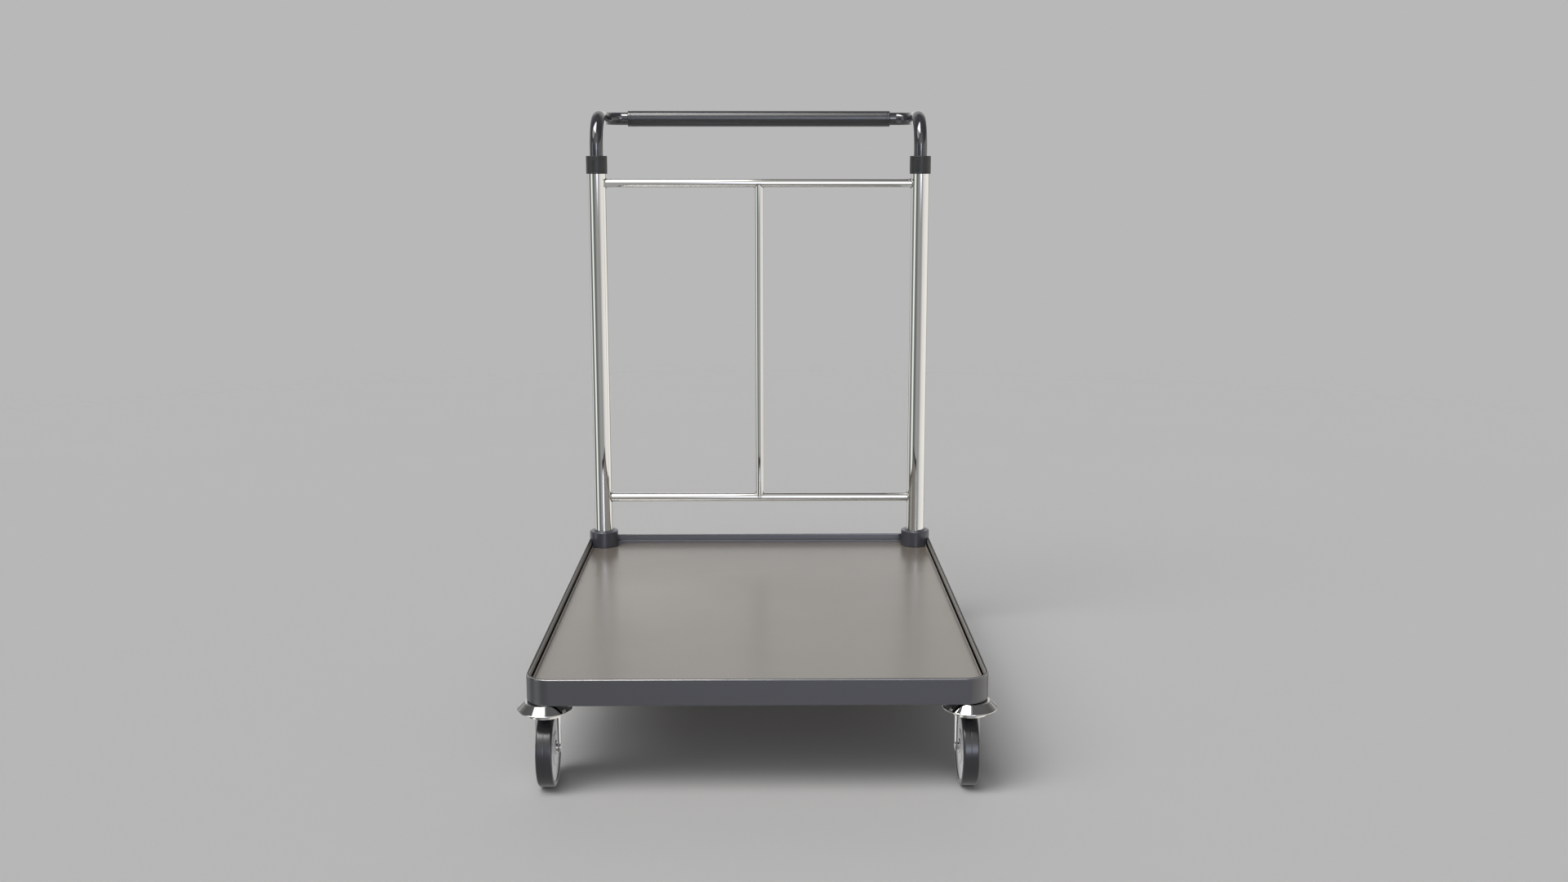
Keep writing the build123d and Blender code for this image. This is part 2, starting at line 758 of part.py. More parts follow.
# x from the middle, radius
wheel_centre_outline = mirrored_outline([
    (bearing_seat_x, 6.5), (bearing_seat_x, bearing_seat_radius),
    (hub_half, bearing_seat_radius), (hub_half, 10.5), (hub_half - 0.6, 11.1),
    (11.4, 12.0), (11.4, 25.0), (10.6, 26.2), (10.3, 44.0), (10.8, 47.0),
    (10.8, tyre_inner_radius),
])


def save_wheel(label, wheel_x, wheel_y):
    wheel_plane = section_plane(wheel_x, wheel_y, axle_z)
    wheel_axis = Axis((wheel_x, wheel_y, axle_z), (1, 0, 0))
    with BuildPart() as tyre:
        with BuildSketch(wheel_plane):
            with BuildLine():
                Polyline((-half_width + tyre_bevel_x, tyre_inner_radius),
                         (half_width - tyre_bevel_x, tyre_inner_radius),
                         (half_width, tyre_bevel_radius),
                         (half_width, wheel_radius - tread_round))
                ThreePointArc((half_width, wheel_radius - tread_round),
                              (half_width - tread_round_mid,
                               wheel_radius - tread_round_mid),
                              (half_width - tread_round, wheel_radius))
                Line((half_width - tread_round, wheel_radius),
                     (-half_width + tread_round, wheel_radius))
                ThreePointArc((-half_width + tread_round, wheel_radius),
                              (-half_width + tread_round_mid,
                               wheel_radius - tread_round_mid),
                              (-half_width, wheel_radius - tread_round))
                Polyline((-half_width, wheel_radius - tread_round),
                         (-half_width, tyre_bevel_radius),
                         (-half_width + tyre_bevel_x, tyre_inner_radius))
            make_face()
        revolve(axis=wheel_axis)
    save(tyre, label + "_tyre")

    with BuildPart() as wheel_centre:
        with BuildSketch(wheel_plane):
            Polygon(*wheel_centre_outline, align=None)
        revolve(axis=wheel_axis)
    save(wheel_centre, label + "_wheel_centre")

    with BuildPart() as wheel_bearings:
        with BuildSketch(wheel_plane):
            for x in (-bearing_x, bearing_x):
                with Locations((x, (bearing_inner + bearing_outer) / 2)):
                    Rectangle(bearing_width, bearing_outer - bearing_inner)
        revolve(axis=wheel_axis)
    save(wheel_bearings, label + "_bearings")


for label, side, end in corners:
    wheel_x = caster_spot(side, end)[0]
    save_wheel(label, wheel_x, front_axle_y if end < 0 else upright_y)

# ---------------------------------------------------------------------------
# press-down handle: bent tube, grip, leg plugs, brake rods and shoes
# ---------------------------------------------------------------------------
bend_start_z = handle_z - handle_back_radius
back_end_y = bar_y - handle_side_radius
cos45 = math.cos(math.radians(45))
# left half of the centre line, from the foot of the leg to the crossbar;
# each bend is given by its start, middle and end
left_route = [
    (-upright_x, upright_y, handle_leg_bottom),
    (-upright_x, upright_y, bend_start_z),
    (-upright_x, upright_y + handle_back_radius * (1 - cos45),
     bend_start_z + handle_back_radius * cos45),
    (-upright_x, upright_y + handle_back_radius, handle_z),
    (-upright_x, back_end_y, handle_z),
    (-upright_x + handle_side_radius * (1 - cos45),
     back_end_y + handle_side_radius * cos45, handle_z),
    (-upright_x + handle_side_radius, bar_y, handle_z),
]
route = left_route + [(-x, y, z) for x, y, z in reversed(left_route)]

with BuildPart() as handle_tube:
    with BuildLine() as handle_path:
        # four straights, each followed by a bend, then the right leg
        for i in range(0, 12, 3):
            Line(route[i], route[i + 1])
            ThreePointArc(route[i + 1], route[i + 2], route[i + 3])
        Line(route[12], route[13])
    with BuildSketch(Plane(origin=route[0], x_dir=(1, 0, 0), z_dir=(0, 0, 1))):
        Circle(handle_tube_radius)
        Circle(handle_tube_radius - handle_tube_wall, mode=Mode.SUBTRACT)
    sweep(path=handle_path.wires()[0])
save(handle_tube, "handle_tube")

with BuildPart() as grip:
    with BuildSketch(Plane.YZ.offset(-grip_half_length)):
        with Locations((bar_y, handle_z)):
            Circle(grip_radius)
    extrude(amount=2 * grip_half_length)
    fillet(grip.faces().sort_by(Axis.X)[0].edges(), radius=1.0)
    fillet(grip.faces().sort_by(Axis.X)[-1].edges(), radius=1.0)
    with BuildSketch(Plane.YZ.offset(-grip_half_length - overcut)):
        with Locations((bar_y, handle_z)):
            Circle(handle_tube_radius + touch)
    extrude(amount=2 * (grip_half_length + overcut), mode=Mode.SUBTRACT)
save(grip, "grip")

# leg plugs: a wide foot under each leg, a spigot inside it, a rod hole below
plug_bottom = 780.0
plug_foot_radius = upright_bore - 0.07
plug_bevel = 1.0
plug_top = handle_leg_bottom + 15.0
plug_hole_top = plug_bottom + 16.0
handle_bore = handle_tube_radius - handle_tube_wall
# radius, z
plug_outline = [
    (rod_radius + touch, plug_bottom),
    (upright_bore - 1.0, plug_bottom),
    (plug_foot_radius, plug_bottom + plug_bevel),
    (plug_foot_radius, handle_leg_bottom),
    (handle_bore - touch, handle_leg_bottom),
    (handle_bore - touch, plug_top - plug_bevel),
    (handle_bore - 1.0, plug_top),
    (0, plug_top),
    (0, plug_hole_top),
    (rod_radius + touch, plug_hole_top),
]

with BuildPart() as leg_plugs:
    for plug_x, plug_y in upright_spots:
        with BuildSketch(section_plane(plug_x, plug_y)):
            Polygon(*plug_outline, align=None)
        revolve(axis=vertical_axis(plug_x, plug_y))
save(leg_plugs, "leg_plugs")

# brake rods, and the carriers and pads at their lower ends
carrier_bottom = 132.3
carrier_plate_top = 136.3
carrier_boss_radius = 8.0
carrier_boss_height = 2.8
shoe_plan = (20.0, 32.0, 3.0)       # X size, Y size, corner radius
pad_bottom = 124.6
pad_gap = 0.3               # pad to tyre with the handle pressed down
pad_cut_margin = 20.0
rod_bottom = carrier_bottom + 2.0
rod_top = plug_hole_top - 0.5

with BuildPart() as brake_rods:
    with BuildSketch(Plane.XY.offset(rod_bottom)):
        with Locations(*upright_spots):
            Circle(rod_radius)
    extrude(amount=rod_top - rod_bottom)
save(brake_rods, "brake_rods")

with BuildPart() as brake_carriers:
    with BuildSketch(Plane.XY.offset(carrier_bottom)):
        with Locations(*upright_spots):
            RectangleRounded(*shoe_plan)
    extrude(amount=carrier_plate_top - carrier_bottom)
    with BuildSketch(Plane.XY.offset(carrier_plate_top)):
        with Locations(*upright_spots):
            Circle(carrier_boss_radius)
    extrude(amount=carrier_boss_height)
    with BuildSketch(Plane.XY.offset(rod_bottom)):
        with Locations(*upright_spots):
            Circle(rod_radius + touch)
    extrude(amount=carrier_plate_top + carrier_boss_height - rod_bottom + overcut,
            mode=Mode.SUBTRACT)
save(brake_carriers, "brake_carriers")

with BuildPart() as brake_pads:
    with BuildSketch(Plane.XY.offset(pad_bottom)):
        with Locations(*upright_spots):
            RectangleRounded(*shoe_plan)
    extrude(amount=carrier_bottom - pad_bottom)
    # hollow to the tyre, which meets the pad one handle stroke higher
    with BuildSketch(Plane.YZ.offset(-upright_x - pad_cut_margin)):
        with Locations((upright_y, axle_z + handle_stroke)):
            Circle(wheel_radius + pad_gap)
    extrude(amount=2 * (upright_x + pad_cut_margin), mode=Mode.SUBTRACT)
save(brake_pads, "brake_pads")

# return springs round the brake rods
spring_wire_radius = 1.2
spring_mean_radius = 9.6
spring_pitch = 8.0
spring_end_inset = spring_wire_radius + 0.15    # coil ends to the seats
spring_height = plug_bottom - spring_seat_top - 2 * spring_end_inset

for label, side in sides:
    with BuildPart() as return_spring:
        with BuildLine() as coil:
            Helix(pitch=spring_pitch, height=spring_height, radius=spring_mean_radius,
                  center=(side * upright_x, upright_y, spring_seat_top + spring_end_inset))
        with BuildSketch(Plane(origin=coil.line @ 0, z_dir=coil.line % 0)):
            Circle(spring_wire_radius)
        sweep(path=coil.wires()[0], is_frenet=True)
    save(return_spring, "return_spring_" + label)
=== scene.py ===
"""Wheeled platform with a sprung push handle.

X runs across, with left at -X; the front of the platform and the camera lie towards -Y;
the wheels stand on the floor at z = 0. Units are metres. Most sizes and places are read
from the boxes of the CAD pieces; the rest are named beside the piece that uses them.
"""
import json
import math

import bmesh
import bpy
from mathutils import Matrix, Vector


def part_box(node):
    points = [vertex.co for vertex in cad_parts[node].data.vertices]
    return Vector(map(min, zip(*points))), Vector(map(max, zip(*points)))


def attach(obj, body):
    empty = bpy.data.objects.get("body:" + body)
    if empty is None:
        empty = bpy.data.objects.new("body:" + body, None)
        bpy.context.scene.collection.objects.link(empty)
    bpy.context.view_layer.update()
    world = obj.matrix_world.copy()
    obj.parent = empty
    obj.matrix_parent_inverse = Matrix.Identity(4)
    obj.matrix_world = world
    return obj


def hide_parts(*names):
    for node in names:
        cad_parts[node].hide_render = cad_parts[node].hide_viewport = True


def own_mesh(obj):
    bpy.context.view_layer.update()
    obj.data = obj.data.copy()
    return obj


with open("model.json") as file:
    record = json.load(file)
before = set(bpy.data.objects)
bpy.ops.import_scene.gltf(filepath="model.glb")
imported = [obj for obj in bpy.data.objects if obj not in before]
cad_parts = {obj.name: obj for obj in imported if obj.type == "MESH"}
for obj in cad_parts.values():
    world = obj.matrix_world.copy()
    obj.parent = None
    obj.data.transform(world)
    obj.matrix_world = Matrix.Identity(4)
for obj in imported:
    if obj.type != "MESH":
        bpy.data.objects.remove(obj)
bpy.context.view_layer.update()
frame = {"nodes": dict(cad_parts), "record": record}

scene = bpy.context.scene
scene.view_settings.view_transform = "Standard"
scene.view_settings.look = "None"

# ---------------------------------------------------------------------------
# driving places and sizes, read from the CAD pieces
# ---------------------------------------------------------------------------


def centre(node):
    lo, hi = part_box(node)
    return (lo + hi) / 2


def half_size(node):
    lo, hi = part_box(node)
    return (hi - lo) / 2


SIDES = ("left", "right")
CORNERS = ("front_left", "front_right", "rear_left", "rear_right")

UPRIGHT = {side: centre("upright_" + side) for side in SIDES}
UPRIGHT_X, UPRIGHT_Y = UPRIGHT["right"].x, UPRIGHT["right"].y
UPRIGHT_RADIUS = half_size("upright_left").x
UPRIGHT_BORE = UPRIGHT_RADIUS + 0.00002   # hole of a piece that slides over an upright
RAIL_RADIUS = half_size("top_rail").z
RAIL_Z = {"top": centre("top_rail").z, "bottom": centre("bottom_rail").z}

band_lo, band_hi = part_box("platform_band")
TRAY_MID_Y = (band_lo.y + band_hi.y) / 2
TRAY_FRONT_RADIUS, TRAY_REAR_RADIUS = 0.037, 0.028   # corners in plan
# edge rounds in section: inset of the centre from the outer wall, height of the centre,
# radius, +1 upper or -1 lower edge, +1 facing outwards or -1 inwards
TRAY_ROUNDS = [
    (0.0020, 0.1780, 0.0020, 1.0, 1.0),
    (0.0035, 0.1790, 0.0010, 1.0, -1.0),
    (0.0012, 0.1412, 0.0012, -1.0, 1.0),
    (0.0075, 0.1680, 0.0010, 1.0, -1.0),
]

# ---------------------------------------------------------------------------
# node graphs
# ---------------------------------------------------------------------------
MATERIALS = {}


class NodeGraph:
    """Adds nodes to a tree and wires them up; sockets take a value or another output."""

    def __init__(self, tree):
        self.tree = tree
        tree.nodes.clear()

    def node(self, kind, **settings):
        node = self.tree.nodes.new("ShaderNode" + kind)
        for key, value in settings.items():
            setattr(node, key, value)
        return node

    def put(self, socket, value):
        if isinstance(value, bpy.types.NodeSocket):
            self.tree.links.new(value, socket)
        elif isinstance(value, tuple) and socket.type == "RGBA":
            socket.default_value = (*value, 1.0)
        else:
            socket.default_value = value

    def math(self, op, a, b=0.0, c=None, clamp=False):
        node = self.node("Math", operation=op, use_clamp=clamp)
        self.put(node.inputs[0], a)
        self.put(node.inputs[1], b)
        if c is not None:
            self.put(node.inputs[2], c)
        return node.outputs[0]

    def add(self, a, b):
        return self.math("ADD", a, b)

    def sub(self, a, b):
        return self.math("SUBTRACT", a, b)

    def mul(self, a, b):
        return self.math("MULTIPLY", a, b)

    def ramp(self, value, lo, hi, out_lo=0.0, out_hi=1.0, kind="SMOOTHSTEP"):
        node = self.node("MapRange", interpolation_type=kind)
        self.put(node.inputs["Value"], value)
        node.inputs["From Min"].default_value = lo
        node.inputs["From Max"].default_value = hi
        node.inputs["To Min"].default_value = out_lo
        node.inputs["To Max"].default_value = out_hi
        return node.outputs[0]

    def mix(self, factor, a, b):
        node = self.node("Mix", data_type="RGBA", blend_type="MIX")
        self.put(node.inputs[0], factor)
        self.put(node.inputs[6], a)
        self.put(node.inputs[7], b)
        return node.outputs[2]


class MaterialGraph(NodeGraph):
    """Graph of a new material, built round one Principled shader in object space."""

    def __init__(self, name):
        self.mat = bpy.data.materials.new(name)
        self.mat.use_nodes = True
        super().__init__(self.mat.node_tree)
        MATERIALS[name] = self.mat
        self.out = self.node("OutputMaterial")
        self.bsdf = self.node("BsdfPrincipled")
        self.put(self.out.inputs[0], self.bsdf.outputs[0])
        self.coord = self.node("TexCoord").outputs["Object"]

    def mapping(self, scale, rotation=(0, 0, 0)):
        node = self.node("Mapping")
        self.put(node.inputs["Vector"], self.coord)
        node.inputs["Scale"].default_value = scale
        node.inputs["Rotation"].default_value = rotation
        return node.outputs[0]

    def noise(self, scale, detail=4.0, rough=0.5, vector=None):
        node = self.node("TexNoise")
        self.put(node.inputs["Vector"], self.coord if vector is None else vector)
        node.inputs["Scale"].default_value = scale
        node.inputs["Detail"].default_value = detail
        node.inputs["Roughness"].default_value = rough
        return node.outputs[0]

    def voronoi(self, scale):
        node = self.node("TexVoronoi")
        self.put(node.inputs["Vector"], self.coord)
        node.inputs["Scale"].default_value = scale
        return node.outputs[0]

    def bump(self, height, strength, distance, base=None):
        node = self.node("Bump")
        node.inputs["Strength"].default_value = strength
        node.inputs["Distance"].default_value = distance
        self.put(node.inputs["Height"], height)
        if base is not None:
            self.put(node.inputs["Normal"], base)
        return node.outputs[0]

    def axis(self, which):
        node = self.node("SeparateXYZ")
        self.put(node.inputs[0], self.coord)
        return node.outputs[which]

    def vector(self, op, a, b=None):
        node = self.node("VectorMath", operation=op)
        self.put(node.inputs[0], a)
        if b is not None:
            self.put(node.inputs[1], b)
        return node.outputs["Value" if op in ("DOT_PRODUCT", "LENGTH") else "Vector"]

    def to_world(self, vector):
        node = self.node("VectorTransform", vector_type="NORMAL",
                         convert_from="OBJECT", convert_to="WORLD")
        self.put(node.inputs[0], vector)
        return node.outputs[0]

    def pick_vector(self, use, a, b):
        """Vector a where use is 0, b where it is 1."""
        node = self.node("Mix", data_type="VECTOR")
        self.put(node.inputs[0], use)
        self.put(node.inputs[4], a)
        self.put(node.inputs[5], b)
        return node.outputs[1]

    def edge(self, radius):
        """1 on edges, 0 on flats: the gap between the rounded and the shading normal."""
        gain = 6.0
        bevel = self.node("Bevel", samples=4)
        bevel.inputs["Radius"].default_value = radius
        geometry = self.node("NewGeometry")
        agree = self.vector("DOT_PRODUCT", bevel.outputs[0], geometry.outputs["Normal"])
        return self.math("MULTIPLY", self.sub(1.0, agree), gain, clamp=True)

    def set(self, **values):
        """Principled inputs by name, with underscores for spaces."""
        for key, value in values.items():
            self.put(self.bsdf.inputs[key.replace("_", " ")], value)


def scaled(tint, factor):
    return tuple(channel * factor for channel in tint)


def round_normal(g, axis, point):
    """Exact normal of a round tube along X or Z through a point; other faces keep their own."""
    same_side = 0.93   # least agreement with the face for the tube normal to be used
    offset = g.vector("SUBTRACT", g.coord, point)
    flat = g.vector("MULTIPLY", offset, (0, 1, 1) if axis == "X" else (1, 1, 0))
    exact = g.to_world(g.vector("NORMALIZE", flat))
    geometry = g.node("NewGeometry").outputs
    agree = g.vector("DOT_PRODUCT", exact, geometry["True Normal"])
    use = g.math("GREATER_THAN", agree, same_side)
    return g.pick_vector(use, geometry["Normal"], exact)


def tray_normal(g):
    """Exact normal of the tray's walls, corners and edge rounds; level faces keep their own.

    Also returns a mask of the inner faces of the two side walls.
    """
    switch = 0.0001       # half width in Y of the change from front to rear plan
    wall_agree = 0.985    # least agreement with a face for it to count as a wall
    slack = -0.00001      # tolerance at the ends of an edge round
    x, y, z = g.axis(0), g.axis(1), g.axis(2)

    def front_or_rear(front, rear):
        return g.ramp(y, lo=TRAY_MID_Y - switch, hi=TRAY_MID_Y + switch,
                      out_lo=front, out_hi=rear, kind="LINEAR")

    # offset from the nearest point of the plan through the corner centres
    half_x = front_or_rear(band_hi.x - TRAY_FRONT_RADIUS, band_hi.x - TRAY_REAR_RADIUS)
    near_x = g.math("MINIMUM", g.math("MAXIMUM", x, g.mul(half_x, -1.0)), half_x)
    near_y = g.math("MINIMUM", g.math("MAXIMUM", y, band_lo.y + TRAY_FRONT_RADIUS),
                    band_hi.y - TRAY_REAR_RADIUS)
    off_x, off_y = g.sub(x, near_x), g.sub(y, near_y)
    length = g.math("SQRT", g.add(g.mul(off_x, off_x), g.mul(off_y, off_y)))
    inset = g.sub(front_or_rear(TRAY_FRONT_RADIUS, TRAY_REAR_RADIUS), length)
    flat = g.node("CombineXYZ")
    g.put(flat.inputs[0], off_x)
    g.put(flat.inputs[1], off_y)
    outwards = g.vector("NORMALIZE", flat.outputs[0])
    geometry = g.node("NewGeometry").outputs
    facing = g.vector("DOT_PRODUCT", g.to_world(outwards), geometry["True Normal"])

    # the normal is level_part along outwards plus rise_part along Z
    level_part = g.math("SIGN", facing)
    rise_part = 0.0
    use = g.math("GREATER_THAN", g.math("ABSOLUTE", facing), wall_agree)
    for round_inset, round_z, radius, up, out in TRAY_ROUNDS:
        level = g.sub(round_inset, inset)
        rise = g.sub(z, round_z)
        reach = g.math("SQRT", g.add(g.mul(level, level), g.mul(rise, rise)))
        near = g.math("LESS_THAN", g.math("ABSOLUTE", g.sub(reach, radius)),
                      radius * 0.12 + 0.00004)
        in_height = g.math("GREATER_THAN", g.mul(rise, up), slack)
        in_plan = g.math("GREATER_THAN", g.mul(level, out), slack)
        on = g.mul(g.mul(near, in_height), in_plan)
        off = g.sub(1.0, on)
        level_part = g.add(g.mul(level_part, off), g.mul(g.math("DIVIDE", level, radius), on))
        rise_part = g.add(g.mul(rise_part, off), g.mul(g.math("DIVIDE", rise, radius), on))
        use = g.math("MAXIMUM", use, on)
    sideways = g.node("VectorMath", operation="SCALE")
    g.put(sideways.inputs[0], outwards)
    g.put(sideways.inputs["Scale"], level_part)
    upwards = g.node("CombineXYZ")
    g.put(upwards.inputs[2], rise_part)
    total = g.vector("ADD", sideways.outputs[0], upwards.outputs[0])
    exact = g.vector("NORMALIZE", g.to_world(total))
    normal = g.pick_vector(use, geometry["Normal"], exact)

    parts = g.node("SeparateXYZ")
    g.put(parts.inputs[0], geometry["True Normal"])
    faces_x = g.ramp(g.math("ABSOLUTE", parts.outputs[0]), lo=0.5, hi=0.9)
    inner_sides = g.mul(faces_x, g.math("LESS_THAN", facing, -0.5))
    return normal, inner_sides


# ---------------------------------------------------------------------------
# kinds of material
# ---------------------------------------------------------------------------


def chrome(name, tint, rough, stretch, smudge=0.05, pits=True, tube=None):
    """Bright plating: smudges and fine polishing lines in the roughness, tiny pits."""
    g = MaterialGraph(name)
    smear = g.ramp(g.noise(scale=14, detail=5, rough=0.55), lo=0.50, hi=0.80)
    lines = g.noise(scale=900, detail=3, rough=0.6, vector=g.mapping(stretch))
    fine = g.ramp(lines, lo=0.35, hi=0.75)
    line_rough = 0.02
    roughness = g.add(g.mul(smear, smudge), g.mul(fine, line_rough))
    roughness = g.add(roughness, rough)
    cloud = g.ramp(g.noise(scale=6, detail=3), lo=0.3, hi=0.7)
    colour = g.mix(cloud, tint, scaled(tint, factor=0.965))
    base = round_normal(g, *tube) if tube else None
    normal = g.bump(lines, strength=0.006, distance=0.00005, base=base)
    if pits:
        pit_tint, pit_cover, pit_rough = (0.16, 0.14, 0.12), 0.5, 0.3
        spots = g.ramp(g.voronoi(scale=420), lo=0.0, hi=0.09, out_lo=1, out_hi=0)
        rare = g.ramp(g.noise(scale=35, detail=2), lo=0.66, hi=0.72)
        pit = g.mul(spots, rare)
        colour = g.mix(g.mul(pit, pit_cover), colour, pit_tint)
        roughness = g.add(roughness, g.mul(pit, pit_rough))
    g.set(Base_Color=colour, Metallic=1.0, Roughness=roughness, Normal=normal)


def coated(name, tint, rough, ior=1.7, peel=0.12, wear=0.5, scuffs=0.02, tray=False):
    """Satin powder coat: orange peel, faint flake, handling scuffs and bright worn edges."""
    g = MaterialGraph(name)
    cloud = g.ramp(g.noise(scale=3.2, detail=4, rough=0.55), lo=0.3, hi=0.7)
    colour = g.mix(cloud, tint, scaled(tint, factor=0.93))
    flake_cover, cloud_rough = 0.14, 0.02
    flake = g.ramp(g.noise(scale=2600, detail=1, rough=0.5), lo=0.35, hi=0.75)
    colour = g.mix(g.mul(flake, flake_cover), colour, scaled(tint, factor=1.7))
    drawn = g.mapping(scale=(1.0, 5.0, 1.0), rotation=(0, 0, 0.4))
    scuff = g.ramp(g.noise(scale=60, detail=6, rough=0.7, vector=drawn), lo=0.66, hi=0.82)
    roughness = g.add(g.mul(cloud, cloud_rough), rough)
    roughness = g.add(roughness, g.mul(scuff, scuffs))
    patches = g.ramp(g.noise(scale=70, detail=5, rough=0.65), lo=0.42, hi=0.6)
    edge = g.mul(g.edge(radius=0.0009), patches)
    worn_tint = (0.30, 0.295, 0.28)
    colour = g.mix(g.mul(edge, wear), colour, worn_tint)
    exact, inner_sides = tray_normal(g) if tray else (None, None)
    skin = g.noise(scale=520, detail=2, rough=0.5)
    normal = g.bump(skin, strength=peel, distance=0.0004, base=exact)
    if tray:
        # rougher, duller walls below the lip; painted light on the inner side walls, standing
        # for light thrown up from the deck; and a painted highlight along the top of the front
        # rim
        below_lip = g.ramp(g.axis(2), lo=0.1765, hi=0.1782, out_lo=0.24, out_hi=0.0)
        roughness = g.add(roughness, below_lip)
        painted_deck_bounce_tint, painted_rim_highlight_tint, painted_rim_highlight_cover = (0.30, 0.275, 0.25), (0.24, 0.237, 0.23), 0.75
        # painted light: the inner faces of the side walls are paled as if lit by light bouncing
        # off the deck
        colour = g.mix(inner_sides, colour, painted_deck_bounce_tint)
        # painted highlight: the top of the rim near the front is paled to stand for the bright
        # reflection along its edge
        rim = g.mul(g.ramp(g.axis(2), lo=0.1785, hi=0.1795),
                    g.ramp(g.axis(1), lo=-0.50, hi=-0.44, out_lo=1.0, out_hi=0.0))
        colour = g.mix(g.mul(rim, painted_rim_highlight_cover), colour, painted_rim_highlight_tint)
    g.set(Base_Color=colour, Metallic=0.0, Roughness=roughness, Normal=normal, IOR=ior)


def moulded(name, tint, rough, grain=700, depth=0.2, spec=0.5, dust=0.1, sheen=0.0):
    """Moulded plastic or rubber: fine grain, slight mottling and patches of dust."""
    g = MaterialGraph(name)
    mottle = g.ramp(g.noise(scale=25, detail=4), lo=0.3, hi=0.7)
    colour = g.mix(mottle, tint, scaled(tint, factor=0.86))
    film = g.ramp(g.noise(scale=9, detail=6, rough=0.6), lo=0.5, hi=0.8)
    dust_tint = (0.30, 0.29, 0.27)
    colour = g.mix(g.mul(film, dust), colour, dust_tint)
    spread = 0.08   # range of roughness, centred on rough
    roughness = g.add(g.mul(g.noise(scale=90, detail=4), spread), rough - spread / 2)
    skin = g.noise(scale=grain, detail=3, rough=0.55)
    normal = g.bump(skin, strength=depth, distance=0.0003)
    g.set(Base_Color=colour, Metallic=0.0, Roughness=roughness, Normal=normal,
          Specular_IOR_Level=spec)
    if sheen:
        g.set(Sheen_Weight=sheen, Sheen_Roughness=0.4)


def cast(name, tint):
    """Coated casting: coarse skin, dark patches, paler edges."""
    g = MaterialGraph(name)
    patches = g.ramp(g.noise(scale=45, detail=5), lo=0.35, hi=0.7)
    colour = g.mix(patches, tint, scaled(tint, factor=0.7))
    skin = g.noise(scale=330, detail=4, rough=0.6)
    normal = g.bump(skin, strength=0.45, distance=0.0006)
    edge_tint, edge_cover = (0.3, 0.3, 0.29), 0.35
    colour = g.mix(g.mul(g.edge(radius=0.0008), edge_cover), colour, edge_tint)
    roughness = g.ramp(g.noise(scale=80, detail=4), lo=0.3, hi=0.7, out_lo=0.45, out_hi=0.6)
    g.set(Base_Color=colour, Metallic=0.55, Roughness=roughness, Normal=normal)


def plated(name, tint, rough=0.26, stretch=(1, 1, 1)):
    """Zinc-plated or ground steel: turning marks, faint tarnish."""
    g = MaterialGraph(name)
    lines = g.noise(scale=1500, detail=3, rough=0.6, vector=g.mapping(stretch))
    tarnish = g.ramp(g.noise(scale=120, detail=4), lo=0.35, hi=0.7)
    colour = g.mix(tarnish, tint, scaled(tint, factor=0.82))
    line_rough, rough_drop = 0.14, 0.06   # roughness from the marks, and taken off the base
    roughness = g.add(g.mul(lines, line_rough), rough - rough_drop)
    normal = g.bump(lines, strength=0.12, distance=0.0002)
    g.set(Base_Color=colour, Metallic=1.0, Roughness=roughness, Normal=normal)


# ---------------------------------------------------------------------------
# materials, by slot name
# ---------------------------------------------------------------------------
TUBE_TINT = (0.70, 0.695, 0.675)

coated("band_metal", tint=(0.007, 0.008, 0.016), rough=0.16, ior=2.12, peel=0.0, wear=0.05,
       scuffs=0.0, tray=True)
coated("deck", tint=(0.160, 0.140, 0.118), rough=0.25, ior=2.1, peel=0.0, wear=0.0, scuffs=0.0)
coated("underframe", tint=(0.050, 0.051, 0.055), rough=0.38)
cast("cast_block", tint=(0.085, 0.086, 0.090))
plated("zinc_fastener", tint=(0.56, 0.555, 0.54))
coated("socket", tint=(0.042, 0.043, 0.056), rough=0.27, ior=1.6, peel=0.0, wear=0.0, scuffs=0.0)
chrome("chrome_tube", tint=TUBE_TINT, rough=0.03, stretch=(1, 1, 0.02))
moulded("collar_plastic", tint=(0.026, 0.027, 0.028), rough=0.42, grain=900, depth=0.15,
        spec=0.45, dust=0.03)
moulded("bush_plastic", tint=(0.62, 0.61, 0.57), rough=0.5)
chrome("deflector_chrome", tint=(0.70, 0.695, 0.68), rough=0.03, stretch=(1, 1, 1), pits=False)
chrome("caster_steel", tint=(0.66, 0.65, 0.625), rough=0.10, stretch=(1, 1, 0.05))
coated("handle_chrome", tint=(0.030, 0.030, 0.037), rough=0.09, ior=1.75, peel=0.01, wear=0.0)
moulded("grip_rubber", tint=(0.016, 0.017, 0.022), rough=0.31, grain=1400, depth=0.08,
        spec=0.8, dust=0.02, sheen=0.25)
plated("rod_steel", tint=(0.5, 0.5, 0.49), rough=0.3, stretch=(1, 1, 0.03))
moulded("brake_rubber", tint=(0.03, 0.03, 0.03), rough=0.7, depth=0.4)
plated("ball_steel", tint=(0.62, 0.62, 0.615), rough=0.16)
moulded("tyre", tint=(0.018, 0.018, 0.022), rough=0.30, grain=1100, depth=0.02, spec=0.72,
        dust=0.02)
moulded("wheel_plastic", tint=(0.60, 0.60, 0.63), rough=0.24, grain=900, depth=0.08, spec=0.7,
        dust=0.08)
plated("weld", tint=(0.42, 0.40, 0.37), rough=0.34)

